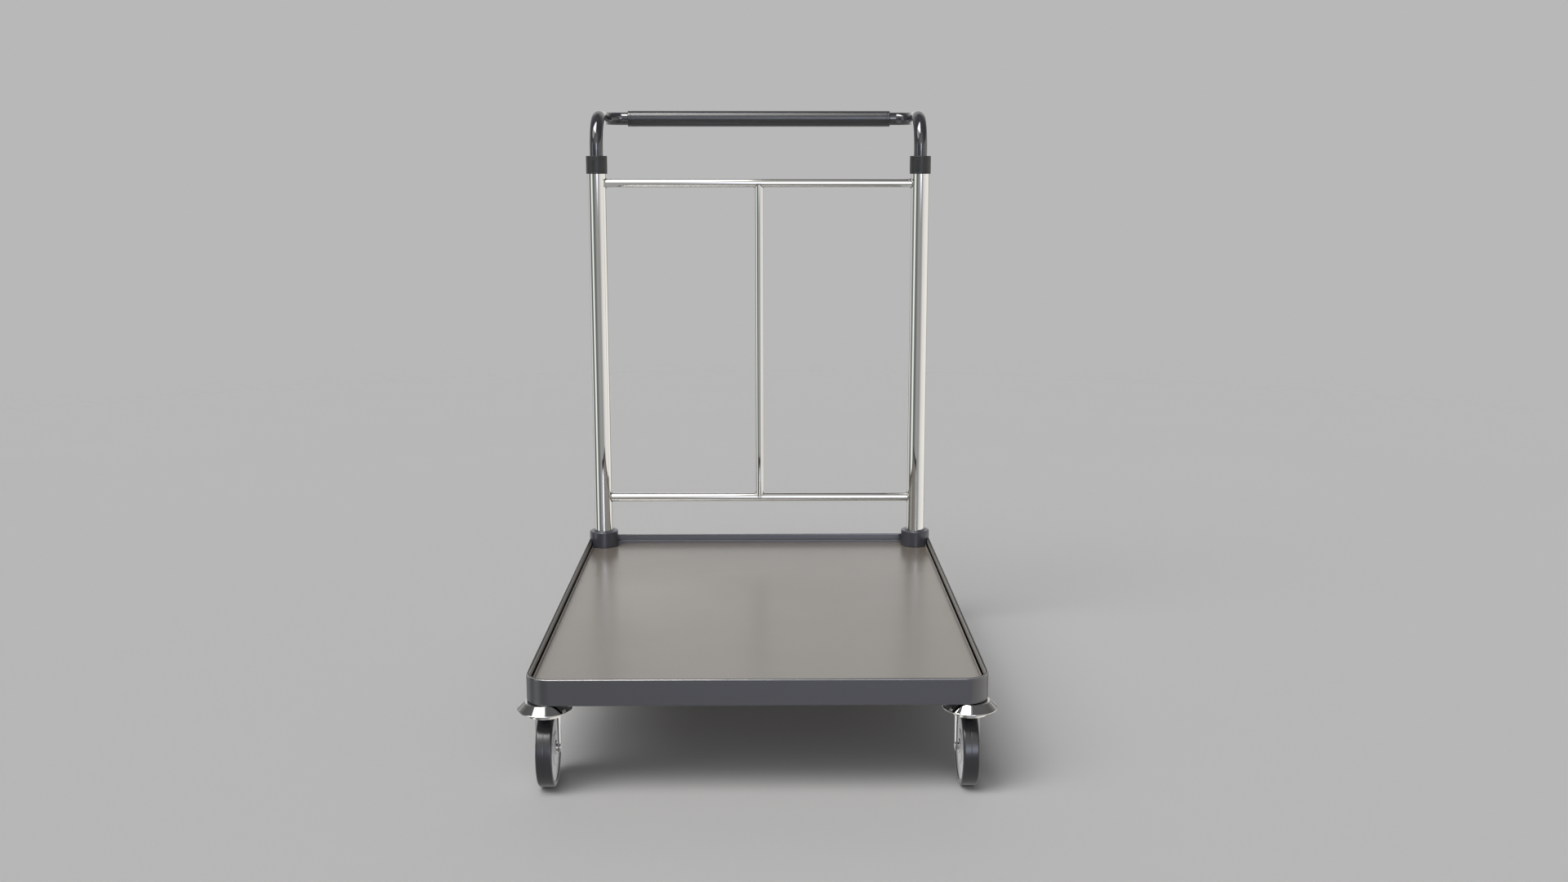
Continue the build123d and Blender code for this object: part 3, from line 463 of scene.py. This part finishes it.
# straight tubes get their own material, with the exact normal of the tube: axis, point on it
TUBES = {
    "upright_left": ("Z", tuple(UPRIGHT["left"])),
    "upright_right": ("Z", tuple(UPRIGHT["right"])),
    "centre_rod": ("Z", ((UPRIGHT["left"].x + UPRIGHT["right"].x) / 2, UPRIGHT_Y, 0)),
    "top_rail": ("X", (0, UPRIGHT_Y, RAIL_Z["top"])),
    "bottom_rail": ("X", (0, UPRIGHT_Y, RAIL_Z["bottom"])),
}
for node_name, tube in TUBES.items():
    chrome(node_name + "_chrome", tint=TUBE_TINT, rough=0.03,
           stretch=(0.02, 1, 1) if tube[0] == "X" else (1, 1, 0.02), smudge=0.02, tube=tube)

# ---------------------------------------------------------------------------
# CAD pieces: materials, and smooth shading through modifiers
# ---------------------------------------------------------------------------


def weigh_normals(obj):
    """Keeps large faces flat where they meet narrow rounded ones."""
    normals = obj.modifiers.new("normals", "WEIGHTED_NORMAL")
    normals.mode = "FACE_AREA"
    normals.weight = 50
    normals.keep_sharp = True


def soften(obj):
    for polygon in obj.data.polygons:
        polygon.use_smooth = True
    weld = obj.modifiers.new("weld", "WELD")
    weld.merge_threshold = 0.000002
    split = obj.modifiers.new("split", "EDGE_SPLIT")
    split.split_angle = math.radians(32.0)
    weigh_normals(obj)


slot_of = {part["node"]: part["material_slot"] for part in frame["record"]["subparts"]}
for node_name, obj in frame["nodes"].items():
    material = node_name + "_chrome" if node_name in TUBES else slot_of[node_name]
    obj.data.materials.clear()
    obj.data.materials.append(MATERIALS[material])
    soften(obj)

# ---------------------------------------------------------------------------
# mesh helpers
# ---------------------------------------------------------------------------


def add_mesh(name, verts, faces, material, body, slot=None, replaces=None, sharp=35.0,
             flats=True):
    """New piece riding on a body; sharp is the crease angle, flats adds weighted normals."""
    mesh = bpy.data.meshes.new(name)
    mesh.from_pydata([tuple(v) for v in verts], [], faces)
    bm = bmesh.new()
    bm.from_mesh(mesh)
    bmesh.ops.recalc_face_normals(bm, faces=bm.faces)
    bm.to_mesh(mesh)
    bm.free()
    mesh.validate()
    for polygon in mesh.polygons:
        polygon.use_smooth = True
    mesh.set_sharp_from_angle(angle=math.radians(sharp))
    obj = bpy.data.objects.new(name, mesh)
    scene.collection.objects.link(obj)
    mesh.materials.append(MATERIALS[material])
    if flats:
        weigh_normals(obj)
    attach(obj, body)
    slot or material
    if replaces:
        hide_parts(replaces)
    return obj


def skin_faces(rows, size, closed=True):
    """Quads between successive rings of vertices; closed joins the last ring to the first."""
    faces = []
    for row in range(rows if closed else rows - 1):
        this, after = row * size, (row + 1) % rows * size
        for k in range(size):
            m = (k + 1) % size
            faces.append((this + k, this + m, after + m, after + k))
    return faces


def add_turned(name, profile, origin, axis, segments, **piece):
    """Closed outline of (radius, distance along the axis) points turned about an axis."""
    origin = Vector(origin)
    along = Vector(axis).normalized()
    across = along.orthogonal().normalized()
    third = along.cross(across)
    verts = []
    for radius, height in profile:
        for i in range(segments):
            a = 2 * math.pi * i / segments
            spoke = across * math.cos(a) + third * math.sin(a)
            verts.append(origin + along * height + spoke * radius)
    return add_mesh(name, verts, skin_faces(len(profile), segments), **piece)


def arc(x, y, radius, degrees):
    """Points at the given angles round (x, y)."""
    return [(x + radius * math.cos(math.radians(d)), y + radius * math.sin(math.radians(d)))
            for d in degrees]


def groove(radius, depth, heights):
    """Groove in an outer wall; heights are its start, the two ends of its floor, its end."""
    start, floor_start, floor_end, end = heights
    return [(radius, start), (radius - depth, floor_start), (radius - depth, floor_end),
            (radius, end)]


LOWER_LIP = (-90, -68, -45, -22, 0)
UPPER_LIP = (0, 22, 45, 68, 90)

# ---------------------------------------------------------------------------
# turned pieces
# ---------------------------------------------------------------------------


def build_grip():
    """Moulded sleeve with rounded lips and a shallow groove near each end."""
    bore, chamfer, lip, groove_depth = 0.01274, 0.0006, 0.0012, 0.00035
    groove_from_end = (0.0052, 0.0056, 0.0066, 0.0070)
    mid, half = centre("grip"), half_size("grip")
    radius, end = half.z, half.x
    profile = [(bore, -end + chamfer), (bore + chamfer, -end)]
    profile += arc(radius - lip, -end + lip, lip, LOWER_LIP)
    profile += groove(radius, groove_depth, [-end + d for d in groove_from_end])
    profile += groove(radius, groove_depth, [end - d for d in reversed(groove_from_end)])
    profile += arc(radius - lip, end - lip, lip, UPPER_LIP)
    profile += [(bore + chamfer, end), (bore, end - chamfer)]
    add_turned("grip_sleeve", profile, (0, mid.y, mid.z), (1, 0, 0), segments=96,
               material="grip_rubber", body="handle", replaces="grip")


def build_collar(side):
    """Moulded cap with two grooves, a lip and a chamfered throat above the upright."""
    throat, lid = 0.01276, 0.0038   # radius of the upper hole, thickness round it
    foot_lip, top_lip, groove_depth = 0.0008, 0.0012, 0.00025
    node = "collar_" + side
    mid, foot = centre(node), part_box(node)[0].z
    radius, height = half_size(node).x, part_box(node)[1].z - foot
    profile = [(UPRIGHT_BORE, 0.0004), (UPRIGHT_BORE + 0.0005, 0.0)]
    profile += arc(radius - foot_lip, foot_lip, foot_lip, (-90, -60, -30, 0))
    profile += groove(radius, groove_depth, (0.0022, 0.0025, 0.0029, 0.0032))
    profile += groove(radius, groove_depth,
                      [height - d for d in (0.0062, 0.0059, 0.0055, 0.0052)])
    profile += arc(radius - top_lip, height - top_lip, top_lip, UPPER_LIP)
    profile += [(throat + 0.0016, height), (throat + 0.0004, height - 0.0004),
                (throat, height - 0.0014), (throat, height - lid), (UPRIGHT_BORE, height - lid)]
    add_turned("collar_cap_" + side, profile, (mid.x, mid.y, foot), (0, 0, 1), segments=96,
               material="collar_plastic", body="chassis", replaces=node)


def build_socket(side):
    """Turned boss with a rounded shoulder and a raised bead round the upright."""
    radius, bead_radius, foot = 0.028, 0.021, 0.1641
    shoulder_round, bead_round, bead_height, chamfer = 0.0016, 0.0010, 0.0012, 0.0004
    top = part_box("socket_" + side)[1].z
    shoulder = top - bead_height
    profile = [(UPRIGHT_BORE, foot), (radius - chamfer, foot), (radius, foot + chamfer),
               (radius, foot + 0.004), (radius, shoulder - 0.0040)]
    profile += arc(radius - shoulder_round, shoulder - shoulder_round, shoulder_round,
                   [11.25 * i for i in range(9)])
    profile += [(bead_radius + 0.0006, shoulder), (bead_radius + 0.0002, shoulder + 0.00015)]
    profile += arc(bead_radius - bead_round, top - bead_round, bead_round, range(0, 91, 15))
    profile += [(UPRIGHT_BORE + 0.0005, top), (UPRIGHT_BORE, top - chamfer)]
    place = (UPRIGHT[side].x, UPRIGHT[side].y, 0)
    add_turned("socket_boss_" + side, profile, place, (0, 0, 1), segments=128, sharp=50,
               material="socket", body="chassis", replaces="socket_" + side)


def build_deflector(corner):
    """Spun sheet cone with a flat flange and a rolled rim."""
    hole, shoulder, sheet, roll, drop = 0.0210, 0.0293, 0.0015, 0.0012, 0.0116
    node = "deflector_" + corner
    mid, radius, top = centre(node), half_size(node).x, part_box(node)[1].z
    under = top - sheet
    profile = [(hole, under), (hole, top), (shoulder - 0.0012, top),
               (shoulder - 0.0004, top - 0.00015), (shoulder + 0.0003, top - 0.0007)]
    profile += arc(radius - roll, top - drop, roll, [*range(78, -190, -18), -190])
    profile += [(shoulder - 0.0011, under), (shoulder - 0.0025, under)]
    add_turned("deflector_cone_" + corner, profile, (mid.x, mid.y, 0), (0, 0, 1), segments=160,
               sharp=60, material="deflector_chrome", body="chassis", replaces=node)


build_grip()
for side in SIDES:
    build_collar(side)
for side in SIDES:
    build_socket(side)
for corner in CORNERS:
    build_deflector(corner)

# ---------------------------------------------------------------------------
# handle: one bent tube; the legs rise, bend back towards +Y, then turn in to the cross bar
# ---------------------------------------------------------------------------
HANDLE_WALL = 0.002
BACK_BEND, SIDE_BEND = 0.062, 0.037   # centre line radii
LEG_STEPS, BEND_STEPS, ARM_STEPS, BAR_STEPS = 24, 32, 8, 20
HANDLE_SEGMENTS = 64


def handle_path(lo, hi, tube_radius):
    """(point, direction) stations from the foot of the left leg to that of the right."""
    bar_z, bar_y = hi.z - tube_radius, hi.y - tube_radius
    bend_z = bar_z - BACK_BEND
    arm_start, arm_end = UPRIGHT_Y + BACK_BEND, bar_y - SIDE_BEND
    bar_x = -UPRIGHT_X + SIDE_BEND
    half = []
    for i in range(LEG_STEPS):
        z = lo.z + (bend_z - lo.z) * i / LEG_STEPS
        half.append((Vector((-UPRIGHT_X, UPRIGHT_Y, z)), Vector((0, 0, 1))))
    for i in range(BEND_STEPS + 1):
        a = math.radians(90 * i / BEND_STEPS)
        half.append((Vector((-UPRIGHT_X, UPRIGHT_Y + BACK_BEND * (1 - math.cos(a)),
                             bend_z + BACK_BEND * math.sin(a))),
                     Vector((0, math.sin(a), math.cos(a)))))
    for i in range(1, ARM_STEPS):
        y = arm_start + (arm_end - arm_start) * i / ARM_STEPS
        half.append((Vector((-UPRIGHT_X, y, bar_z)), Vector((0, 1, 0))))
    for i in range(BEND_STEPS + 1):
        a = math.radians(90 * i / BEND_STEPS)
        half.append((Vector((-UPRIGHT_X + SIDE_BEND * (1 - math.cos(a)),
                             arm_end + SIDE_BEND * math.sin(a), bar_z)),
                     Vector((math.sin(a), math.cos(a), 0))))
    for i in range(1, BAR_STEPS + 1):
        half.append((Vector((bar_x - bar_x * i / BAR_STEPS, bar_y, bar_z)), Vector((1, 0, 0))))
    return half + [(Vector((-p.x, p.y, p.z)), Vector((t.x, -t.y, -t.z)))
                   for p, t in reversed(half[:-1])]


def build_handle():
    lo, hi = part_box("handle_tube")
    tube_radius = (hi.x - lo.x) / 2 - UPRIGHT_X
    path = handle_path(lo, hi, tube_radius)
    ring = HANDLE_SEGMENTS
    verts, faces = [], []
    side_dir = Vector((1, 0, 0))
    for point, tangent in path:
        # carry the cross direction along the path without twist
        side_dir = (side_dir - tangent * side_dir.dot(tangent)).normalized()
        up_dir = tangent.cross(side_dir).normalized()
        for radius in (tube_radius, tube_radius - HANDLE_WALL):
            for k in range(ring):
                a = 2 * math.pi * k / ring
                verts.append(point + (side_dir * math.cos(a) + up_dir * math.sin(a)) * radius)
    # outer and inner walls
    for i in range(len(path) - 1):
        this, after = i * 2 * ring, (i + 1) * 2 * ring
        for k in range(ring):
            m = (k + 1) % ring
            faces.append((this + k, this + m, after + m, after + k))
            faces.append((this + ring + m, this + ring + k, after + ring + k, after + ring + m))
    # flat ends between the walls
    for base in (0, (len(path) - 1) * 2 * ring):
        for k in range(ring):
            m = (k + 1) % ring
            quad = (base + k, base + m, base + ring + m, base + ring + k)
            faces.append(quad if base else tuple(reversed(quad)))
    add_mesh("handle_bent_tube", verts, faces, "handle_chrome", "handle",
             replaces="handle_tube", sharp=40, flats=False)


build_handle()

# ---------------------------------------------------------------------------
# wheels
# ---------------------------------------------------------------------------
# half outline of the dished disc between hub and seat: radius, distance from the mid plane
DISH = [
    (0.0122, 0.0114), (0.0180, 0.01142), (0.0246, 0.0114), (0.0251, 0.0113), (0.0255, 0.0110),
    (0.0258, 0.0107), (0.0263, 0.0106), (0.0350, 0.01045), (0.0440, 0.0103), (0.0452, 0.0104),
    (0.0462, 0.0107), (0.0470, 0.0108), (0.0492, 0.0108), (0.0495, 0.0106),
]
SEAT_RADIUS = DISH[-1][0]   # where the tyre meets the disc


def build_tyre(corner):
    """Tyre with a ring groove in each sidewall and a mould line round the tread."""
    shoulder_round = 0.0030
    node = corner + "_tyre"
    radius, side = half_size(node).z, half_size(node).x
    seat = SEAT_RADIUS
    half = [(seat, side - 0.001), (seat + 0.0006, side - 0.0004), (seat + 0.0014, side),
            (seat + 0.0026, side), (seat + 0.0029, side - 0.0003),
            (seat + 0.0033, side - 0.0003), (seat + 0.0036, side), (radius - 0.0032, side)]
    half += arc(radius - shoulder_round, side - shoulder_round, shoulder_round,
                range(78, 5, -12))
    half += [(radius, side - 0.0034), (radius, 0.0030), (radius, 0.0006),
             (radius - 0.00012, 0.0002)]
    profile = [(r, -x) for r, x in half] + half[::-1]
    add_turned(corner + "_tyre_skin", profile, centre(node), (1, 0, 0), segments=128,
               material="tyre", body=corner + "_wheel", replaces=node)


def build_disc(corner):
    """Dished wheel centre with a raised ring round the hub."""
    node = corner + "_wheel_centre"
    side = half_size(node).x
    half = [(0.0065, 0.0075), (0.0080, 0.0075), (0.0080, side - 0.0003), (0.0083, side),
            (0.0100, side), (0.0105, side - 0.0002), (0.0109, side - 0.0006),
            (0.0114, side - 0.0010)] + DISH
    profile = [(r, -x) for r, x in reversed(half)] + half
    add_turned(corner + "_disc", profile, centre(node), (1, 0, 0), segments=128,
               material="wheel_plastic", body=corner + "_wheel", replaces=node)


for corner in CORNERS:
    build_tyre(corner)
    build_disc(corner)

# ---------------------------------------------------------------------------
# return springs: round wire coils, built at one fixed length on the chassis; on the real
# platform they shorten with the handle
# ---------------------------------------------------------------------------
SPRING_WIRE, SPRING_RADIUS = 0.0012, 0.0096   # wire radius, coil radius to the wire's centre
SPRING_TURNS, SPRING_STEPS, SPRING_SEGMENTS = 8.5, 340, 12


def build_spring(side):
    node = "return_spring_" + side
    lo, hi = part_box(node)
    mid = centre(node)
    start, end = lo.z + SPRING_WIRE, hi.z - SPRING_WIRE
    points = []
    for i in range(SPRING_STEPS + 1):
        t = i / SPRING_STEPS
        a = 2 * math.pi * SPRING_TURNS * t
        points.append(Vector((mid.x + SPRING_RADIUS * math.cos(a),
                              mid.y + SPRING_RADIUS * math.sin(a), start + (end - start) * t)))
    last = len(points) - 1
    ring = SPRING_SEGMENTS
    verts = []
    for i, point in enumerate(points):
        tangent = (points[min(i + 1, last)] - points[max(i - 1, 0)]).normalized()
        radial = (point - Vector((mid.x, mid.y, point.z))).normalized()
        across = tangent.cross(radial).normalized()
        for k in range(ring):
            b = 2 * math.pi * k / ring
            verts.append(point + (radial * math.cos(b) + across * math.sin(b)) * SPRING_WIRE)
    faces = skin_faces(len(points), ring, closed=False)
    faces.append(tuple(reversed(range(ring))))
    faces.append(tuple(last * ring + k for k in range(ring)))
    coil = add_mesh("spring_coil_" + side, verts, faces, "rod_steel", "chassis",
                    replaces=node, flats=False)
    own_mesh(coil)


for side in SIDES:
    build_spring(side)

# ---------------------------------------------------------------------------
# weld fillets where the rails meet the uprights and the rod meets the rails
# ---------------------------------------------------------------------------


def add_weld(name, tube_centre, tube_axis, tube_radius, branch_axis, branch_radius, width,
             phase):
    """Rippled fillet along the saddle line of a tube welded square to another."""
    along = Vector(tube_axis).normalized()
    branch = Vector(branch_axis).normalized()
    across = along.cross(branch).normalized()
    origin = Vector(tube_centre)
    stations, outer_points = 144, 9
    lift, bury_branch, bury_tube, bulge_height = 0.00005, 0.0002, 0.0004, 0.16

    def on_saddle(radius, a):
        y = radius * math.cos(a)
        x = radius * math.sin(a)
        depth = math.sqrt(max(tube_radius ** 2 - y ** 2, 0))
        return origin + across * y + along * x + branch * depth

    verts = []
    for i in range(stations):
        a = 2 * math.pi * i / stations
        # ripples along the seam
        ripple = 0.10 * math.sin(a * 26 + phase) + 0.05 * math.sin(a * 9 + 2.3 * phase)
        leg = width * (1 + ripple)
        outwards = across * math.cos(a) + along * math.sin(a)
        root = on_saddle(branch_radius, a)
        toe = on_saddle(branch_radius + leg, a) - branch * lift
        up = root + branch * leg - outwards * lift
        away = (outwards + branch).normalized()
        for k in range(outer_points):
            q = k / (outer_points - 1)
            bulge = math.sin(q * math.pi) * leg * bulge_height
            verts.append(toe.lerp(up, q) + away * bulge)
        verts.append(root - branch * bury_branch - outwards * bury_tube)
    add_mesh(name, verts, skin_faces(stations, outer_points + 1), "weld", "chassis",
             slot="chrome_tube", sharp=80, flats=False)


phase = 1.0
for label, z in RAIL_Z.items():
    for sign, side in ((-1, "left"), (1, "right")):
        add_weld(f"weld_{label}_rail_{side}", tube_centre=(sign * UPRIGHT_X, UPRIGHT_Y, z),
                 tube_axis=(0, 0, 1), tube_radius=UPRIGHT_RADIUS, branch_axis=(-sign, 0, 0),
                 branch_radius=RAIL_RADIUS, width=0.0016, phase=phase)
        phase += 1.7
    add_weld(f"weld_rod_{label}", tube_centre=(0, UPRIGHT_Y, z), tube_axis=(1, 0, 0),
             tube_radius=RAIL_RADIUS, branch_axis=(0, 0, -1 if label == "top" else 1),
             branch_radius=RAIL_RADIUS * 0.985, width=0.0012, phase=phase)
    phase += 1.3

# ---------------------------------------------------------------------------
# stage: pale floor that fades into the plain backdrop
# ---------------------------------------------------------------------------
BACKDROP = (0.479, 0.479, 0.479)
FLOOR_TINT = (0.482, 0.484, 0.494)
FLOOR_HALF = 14


def build_floor():
    h = FLOOR_HALF
    mesh = bpy.data.meshes.new("floor")
    mesh.from_pydata([(-h, -h, 0), (h, -h, 0), (h, h, 0), (-h, h, 0)], [], [(0, 1, 2, 3)])
    floor = bpy.data.objects.new("floor", mesh)
    scene.collection.objects.link(floor)
    g = MaterialGraph("floor_pale")
    cloud = g.ramp(g.noise(scale=0.9, detail=3), lo=0.3, hi=0.7)
    g.set(Base_Color=g.mix(cloud, FLOOR_TINT, scaled(FLOOR_TINT, factor=0.995)),
          Roughness=0.9, Specular_IOR_Level=0.0)
    fade = g.ramp(g.vector("LENGTH", g.coord), lo=2.2, hi=6.0)
    clear = g.node("BsdfTransparent")
    blend = g.node("MixShader")
    g.put(blend.inputs[0], fade)
    g.put(blend.inputs[1], g.bsdf.outputs[0])
    g.put(blend.inputs[2], clear.outputs[0])
    g.put(g.out.inputs[0], blend.outputs[0])
    mesh.materials.append(g.mat)
    floor.visible_glossy = False


build_floor()

# ---------------------------------------------------------------------------
# world: studio surround with softboxes, seen only in light and reflections;
# the camera sees the plain backdrop
# ---------------------------------------------------------------------------


def grey(degrees, value, warm=0.0):
    return (degrees, value * (1 + warm), value, value * (1 - 1.3 * warm))


# surrounds as stops of azimuth in degrees, red, green, blue
# (grey: azimuth, value, warmth); azimuth is 0 towards -Y, +90 towards +X, 180 behind
# at eye level: warm wall on the right, narrow bright and dark flags on the left
LOW_SURROUND = [
    grey(-180, 0.82), grey(-169, 0.84), grey(-160, 0.42), grey(-151, 0.26), grey(-142, 0.36),
    grey(-130, 0.92), grey(-108, 0.60), grey(-101, 0.22),
    (-90, 0.10, 0.12, 0.105), (-82, 0.26, 0.29, 0.27), (-73, 1.02, 1.06, 1.03),
    (-66, 1.38, 1.42, 1.39), (-58, 0.85, 0.90, 0.87), (-50, 0.27, 0.31, 0.285),
    (-42, 0.14, 0.155, 0.145),
    grey(-32, 0.23), grey(-20, 0.36), grey(-8, 0.44), grey(18, 0.39), grey(26, 0.45),
    grey(34, 0.62, 0.01), grey(44, 0.90, 0.015), grey(56, 1.00, 0.02), grey(92, 1.10, 0.03),
    grey(106, 1.16, 0.03), grey(122, 1.08, 0.03), grey(134, 0.80, 0.02), grey(145, 0.32, 0.02),
    grey(154, 0.24), grey(162, 0.46), grey(170, 0.84), grey(180, 0.82),
]
# higher up: a window of light in front and the wall behind, dark flags on both sides
MID_SURROUND = [
    grey(-180, 0.82), grey(-158, 0.72), grey(-138, 0.27), grey(-112, 0.12), grey(-75, 0.13),
    grey(-45, 0.34), grey(-28, 0.62), grey(-13, 0.98), grey(0, 1.12), grey(13, 1.12, 0.01),
    grey(27, 0.75, 0.015), grey(46, 0.30, 0.02), grey(75, 0.13, 0.02), grey(112, 0.12, 0.02),
    grey(138, 0.27, 0.02), grey(158, 0.72, 0.02), grey(180, 0.82),
]
CEILING = (0.13, 0.13, 0.135)
BELOW = (0.46, 0.46, 0.46)
FILL = (0.62, 0.615, 0.60)
# each softbox has a dimmer colour for lighting and a brighter one in reflections
LAMP, LAMP_GLOSSY = (6.4, 6.3, 6.1), (12.5, 12.4, 12.2)
STRIP, STRIP_GLOSSY = (1.5, 1.55, 1.7), (5.2, 5.45, 6.7)


class WorldGraph(NodeGraph):
    """Graph of the world, with the view direction as azimuth and elevation in degrees."""

    def __init__(self, tree):
        super().__init__(tree)
        parts = self.node("SeparateXYZ")
        self.put(parts.inputs[0], self.node("TexCoord").outputs["Generated"])
        x, y, z = parts.outputs
        per_radian = 57.29578
        self.azimuth = self.mul(self.math("ARCTAN2", x, self.mul(y, -1.0)), per_radian)
        self.elevation = self.mul(self.math("ARCSINE", z), per_radian)

    def math(self, op, a, b=0.0, c=0.0):
        return super().math(op, a, b, c)

    def panel(self, az, az_half, el, el_half, soft_az, soft_el):
        """Mask of a soft-edged rectangle, by its centre, half sizes and edge softness."""
        turned = self.math("WRAP", self.sub(self.azimuth, az), 180.0, -180.0)
        away = self.math("ABSOLUTE", turned)
        across = self.ramp(away, lo=az_half - soft_az, hi=az_half + soft_az,
                           out_lo=1.0, out_hi=0.0)
        rise = self.math("ABSOLUTE", self.sub(self.elevation, el))
        level = self.ramp(rise, lo=el_half - soft_el, hi=el_half + soft_el,
                          out_lo=1.0, out_hi=0.0)
        return self.mul(across, level)

    def surround(self, stops):
        """Colour as a function of azimuth."""
        node = self.node("ValToRGB")
        turn = self.math("DIVIDE", self.add(self.azimuth, 180.0), 360.0)
        self.put(node.inputs["Fac"], turn)
        ramp = node.color_ramp
        ramp.interpolation = "EASE"
        while len(ramp.elements) > 1:
            ramp.elements.remove(ramp.elements[0])
        for i, (degrees, *colour) in enumerate(stops):
            position = (degrees + 180.0) / 360.0
            stop = ramp.elements.new(position) if i else ramp.elements[0]
            stop.position = position
            stop.color = (*colour, 1.0)
        return node.outputs[0]


def build_world():
    world = bpy.data.worlds.new("studio")
    scene.world = world
    world.use_nodes = True
    g = WorldGraph(world.node_tree)
    ray = g.node("LightPath").outputs
    low = g.surround(LOW_SURROUND)
    mid = g.surround(MID_SURROUND)
    sky = g.mix(g.ramp(g.elevation, lo=10.0, hi=20.0), low, mid)
    sky = g.mix(g.ramp(g.elevation, lo=42.0, hi=56.0), sky, CEILING)
    # faint fill, high in front
    fill = g.panel(az=-4.0, az_half=16.0, el=60.0, el_half=22.0, soft_az=8.0, soft_el=8.0)
    sky = g.mix(fill, sky, FILL)
    # main softbox, high in front to the left
    lamp_colour = g.mix(ray["Is Glossy Ray"], LAMP, LAMP_GLOSSY)
    lamp = g.panel(az=-39.0, az_half=34.0, el=68.0, el_half=18.0, soft_az=4.0, soft_el=4.0)
    sky = g.mix(lamp, sky, lamp_colour)
    # small cool softbox, low in front
    strip_colour = g.mix(ray["Is Glossy Ray"], STRIP, STRIP_GLOSSY)
    strip = g.panel(az=8.0, az_half=8.0, el=9.0, el_half=8.5, soft_az=4.0, soft_el=2.5)
    sky = g.mix(strip, sky, strip_colour)
    below = g.ramp(g.elevation, lo=-36.0, hi=-18.0, out_lo=1.0, out_hi=0.0)
    sky = g.mix(below, sky, BELOW)
    background = g.node("Background")
    g.put(background.inputs["Color"], g.mix(ray["Is Camera Ray"], sky, BACKDROP))
    background.inputs["Strength"].default_value = 1.0
    g.put(g.node("OutputWorld").inputs[0], background.outputs[0])


build_world()

# ---------------------------------------------------------------------------
# key light: soft sun, high in front to the left
# ---------------------------------------------------------------------------
KEY_AZIMUTH, KEY_ELEVATION = math.radians(-58), math.radians(44)
KEY_DISTANCE = 4

key = bpy.data.lights.new("key", "SUN")
key.energy = 0.82
key.angle = math.radians(36)
key.color = (1.0, 0.985, 0.96)
key_obj = bpy.data.objects.new("key", key)
scene.collection.objects.link(key_obj)
key_dir = Vector((math.sin(KEY_AZIMUTH) * math.cos(KEY_ELEVATION),
                  -math.cos(KEY_AZIMUTH) * math.cos(KEY_ELEVATION),
                  math.sin(KEY_ELEVATION)))
key_obj.rotation_mode = "QUATERNION"
key_obj.rotation_quaternion = key_dir.to_track_quat("Z", "Y")
key_obj.location = key_dir * KEY_DISTANCE

# ---------------------------------------------------------------------------
# camera: in front, looking along +Y and slightly down
# ---------------------------------------------------------------------------
CAMERA_PLACE = (0.01227, -2.69352, 0.91025)
CAMERA_YAW, CAMERA_PITCH = 0.01198, 0.17326   # radians, towards +X and downwards

camera = bpy.data.cameras.new("camera")
camera.sensor_width = 36.0
camera.lens = 35.8231875
camera_obj = bpy.data.objects.new("camera", camera)
scene.collection.objects.link(camera_obj)
look = Vector((math.sin(CAMERA_YAW) * math.cos(CAMERA_PITCH),
               math.cos(CAMERA_YAW) * math.cos(CAMERA_PITCH),
               -math.sin(CAMERA_PITCH)))
camera_obj.location = CAMERA_PLACE
camera_obj.rotation_mode = "QUATERNION"
camera_obj.rotation_quaternion = look.to_track_quat("-Z", "Y")
camera.clip_start, camera.clip_end = 0.05, 100.0
scene.camera = camera_obj

bpy.context.view_layer.update()
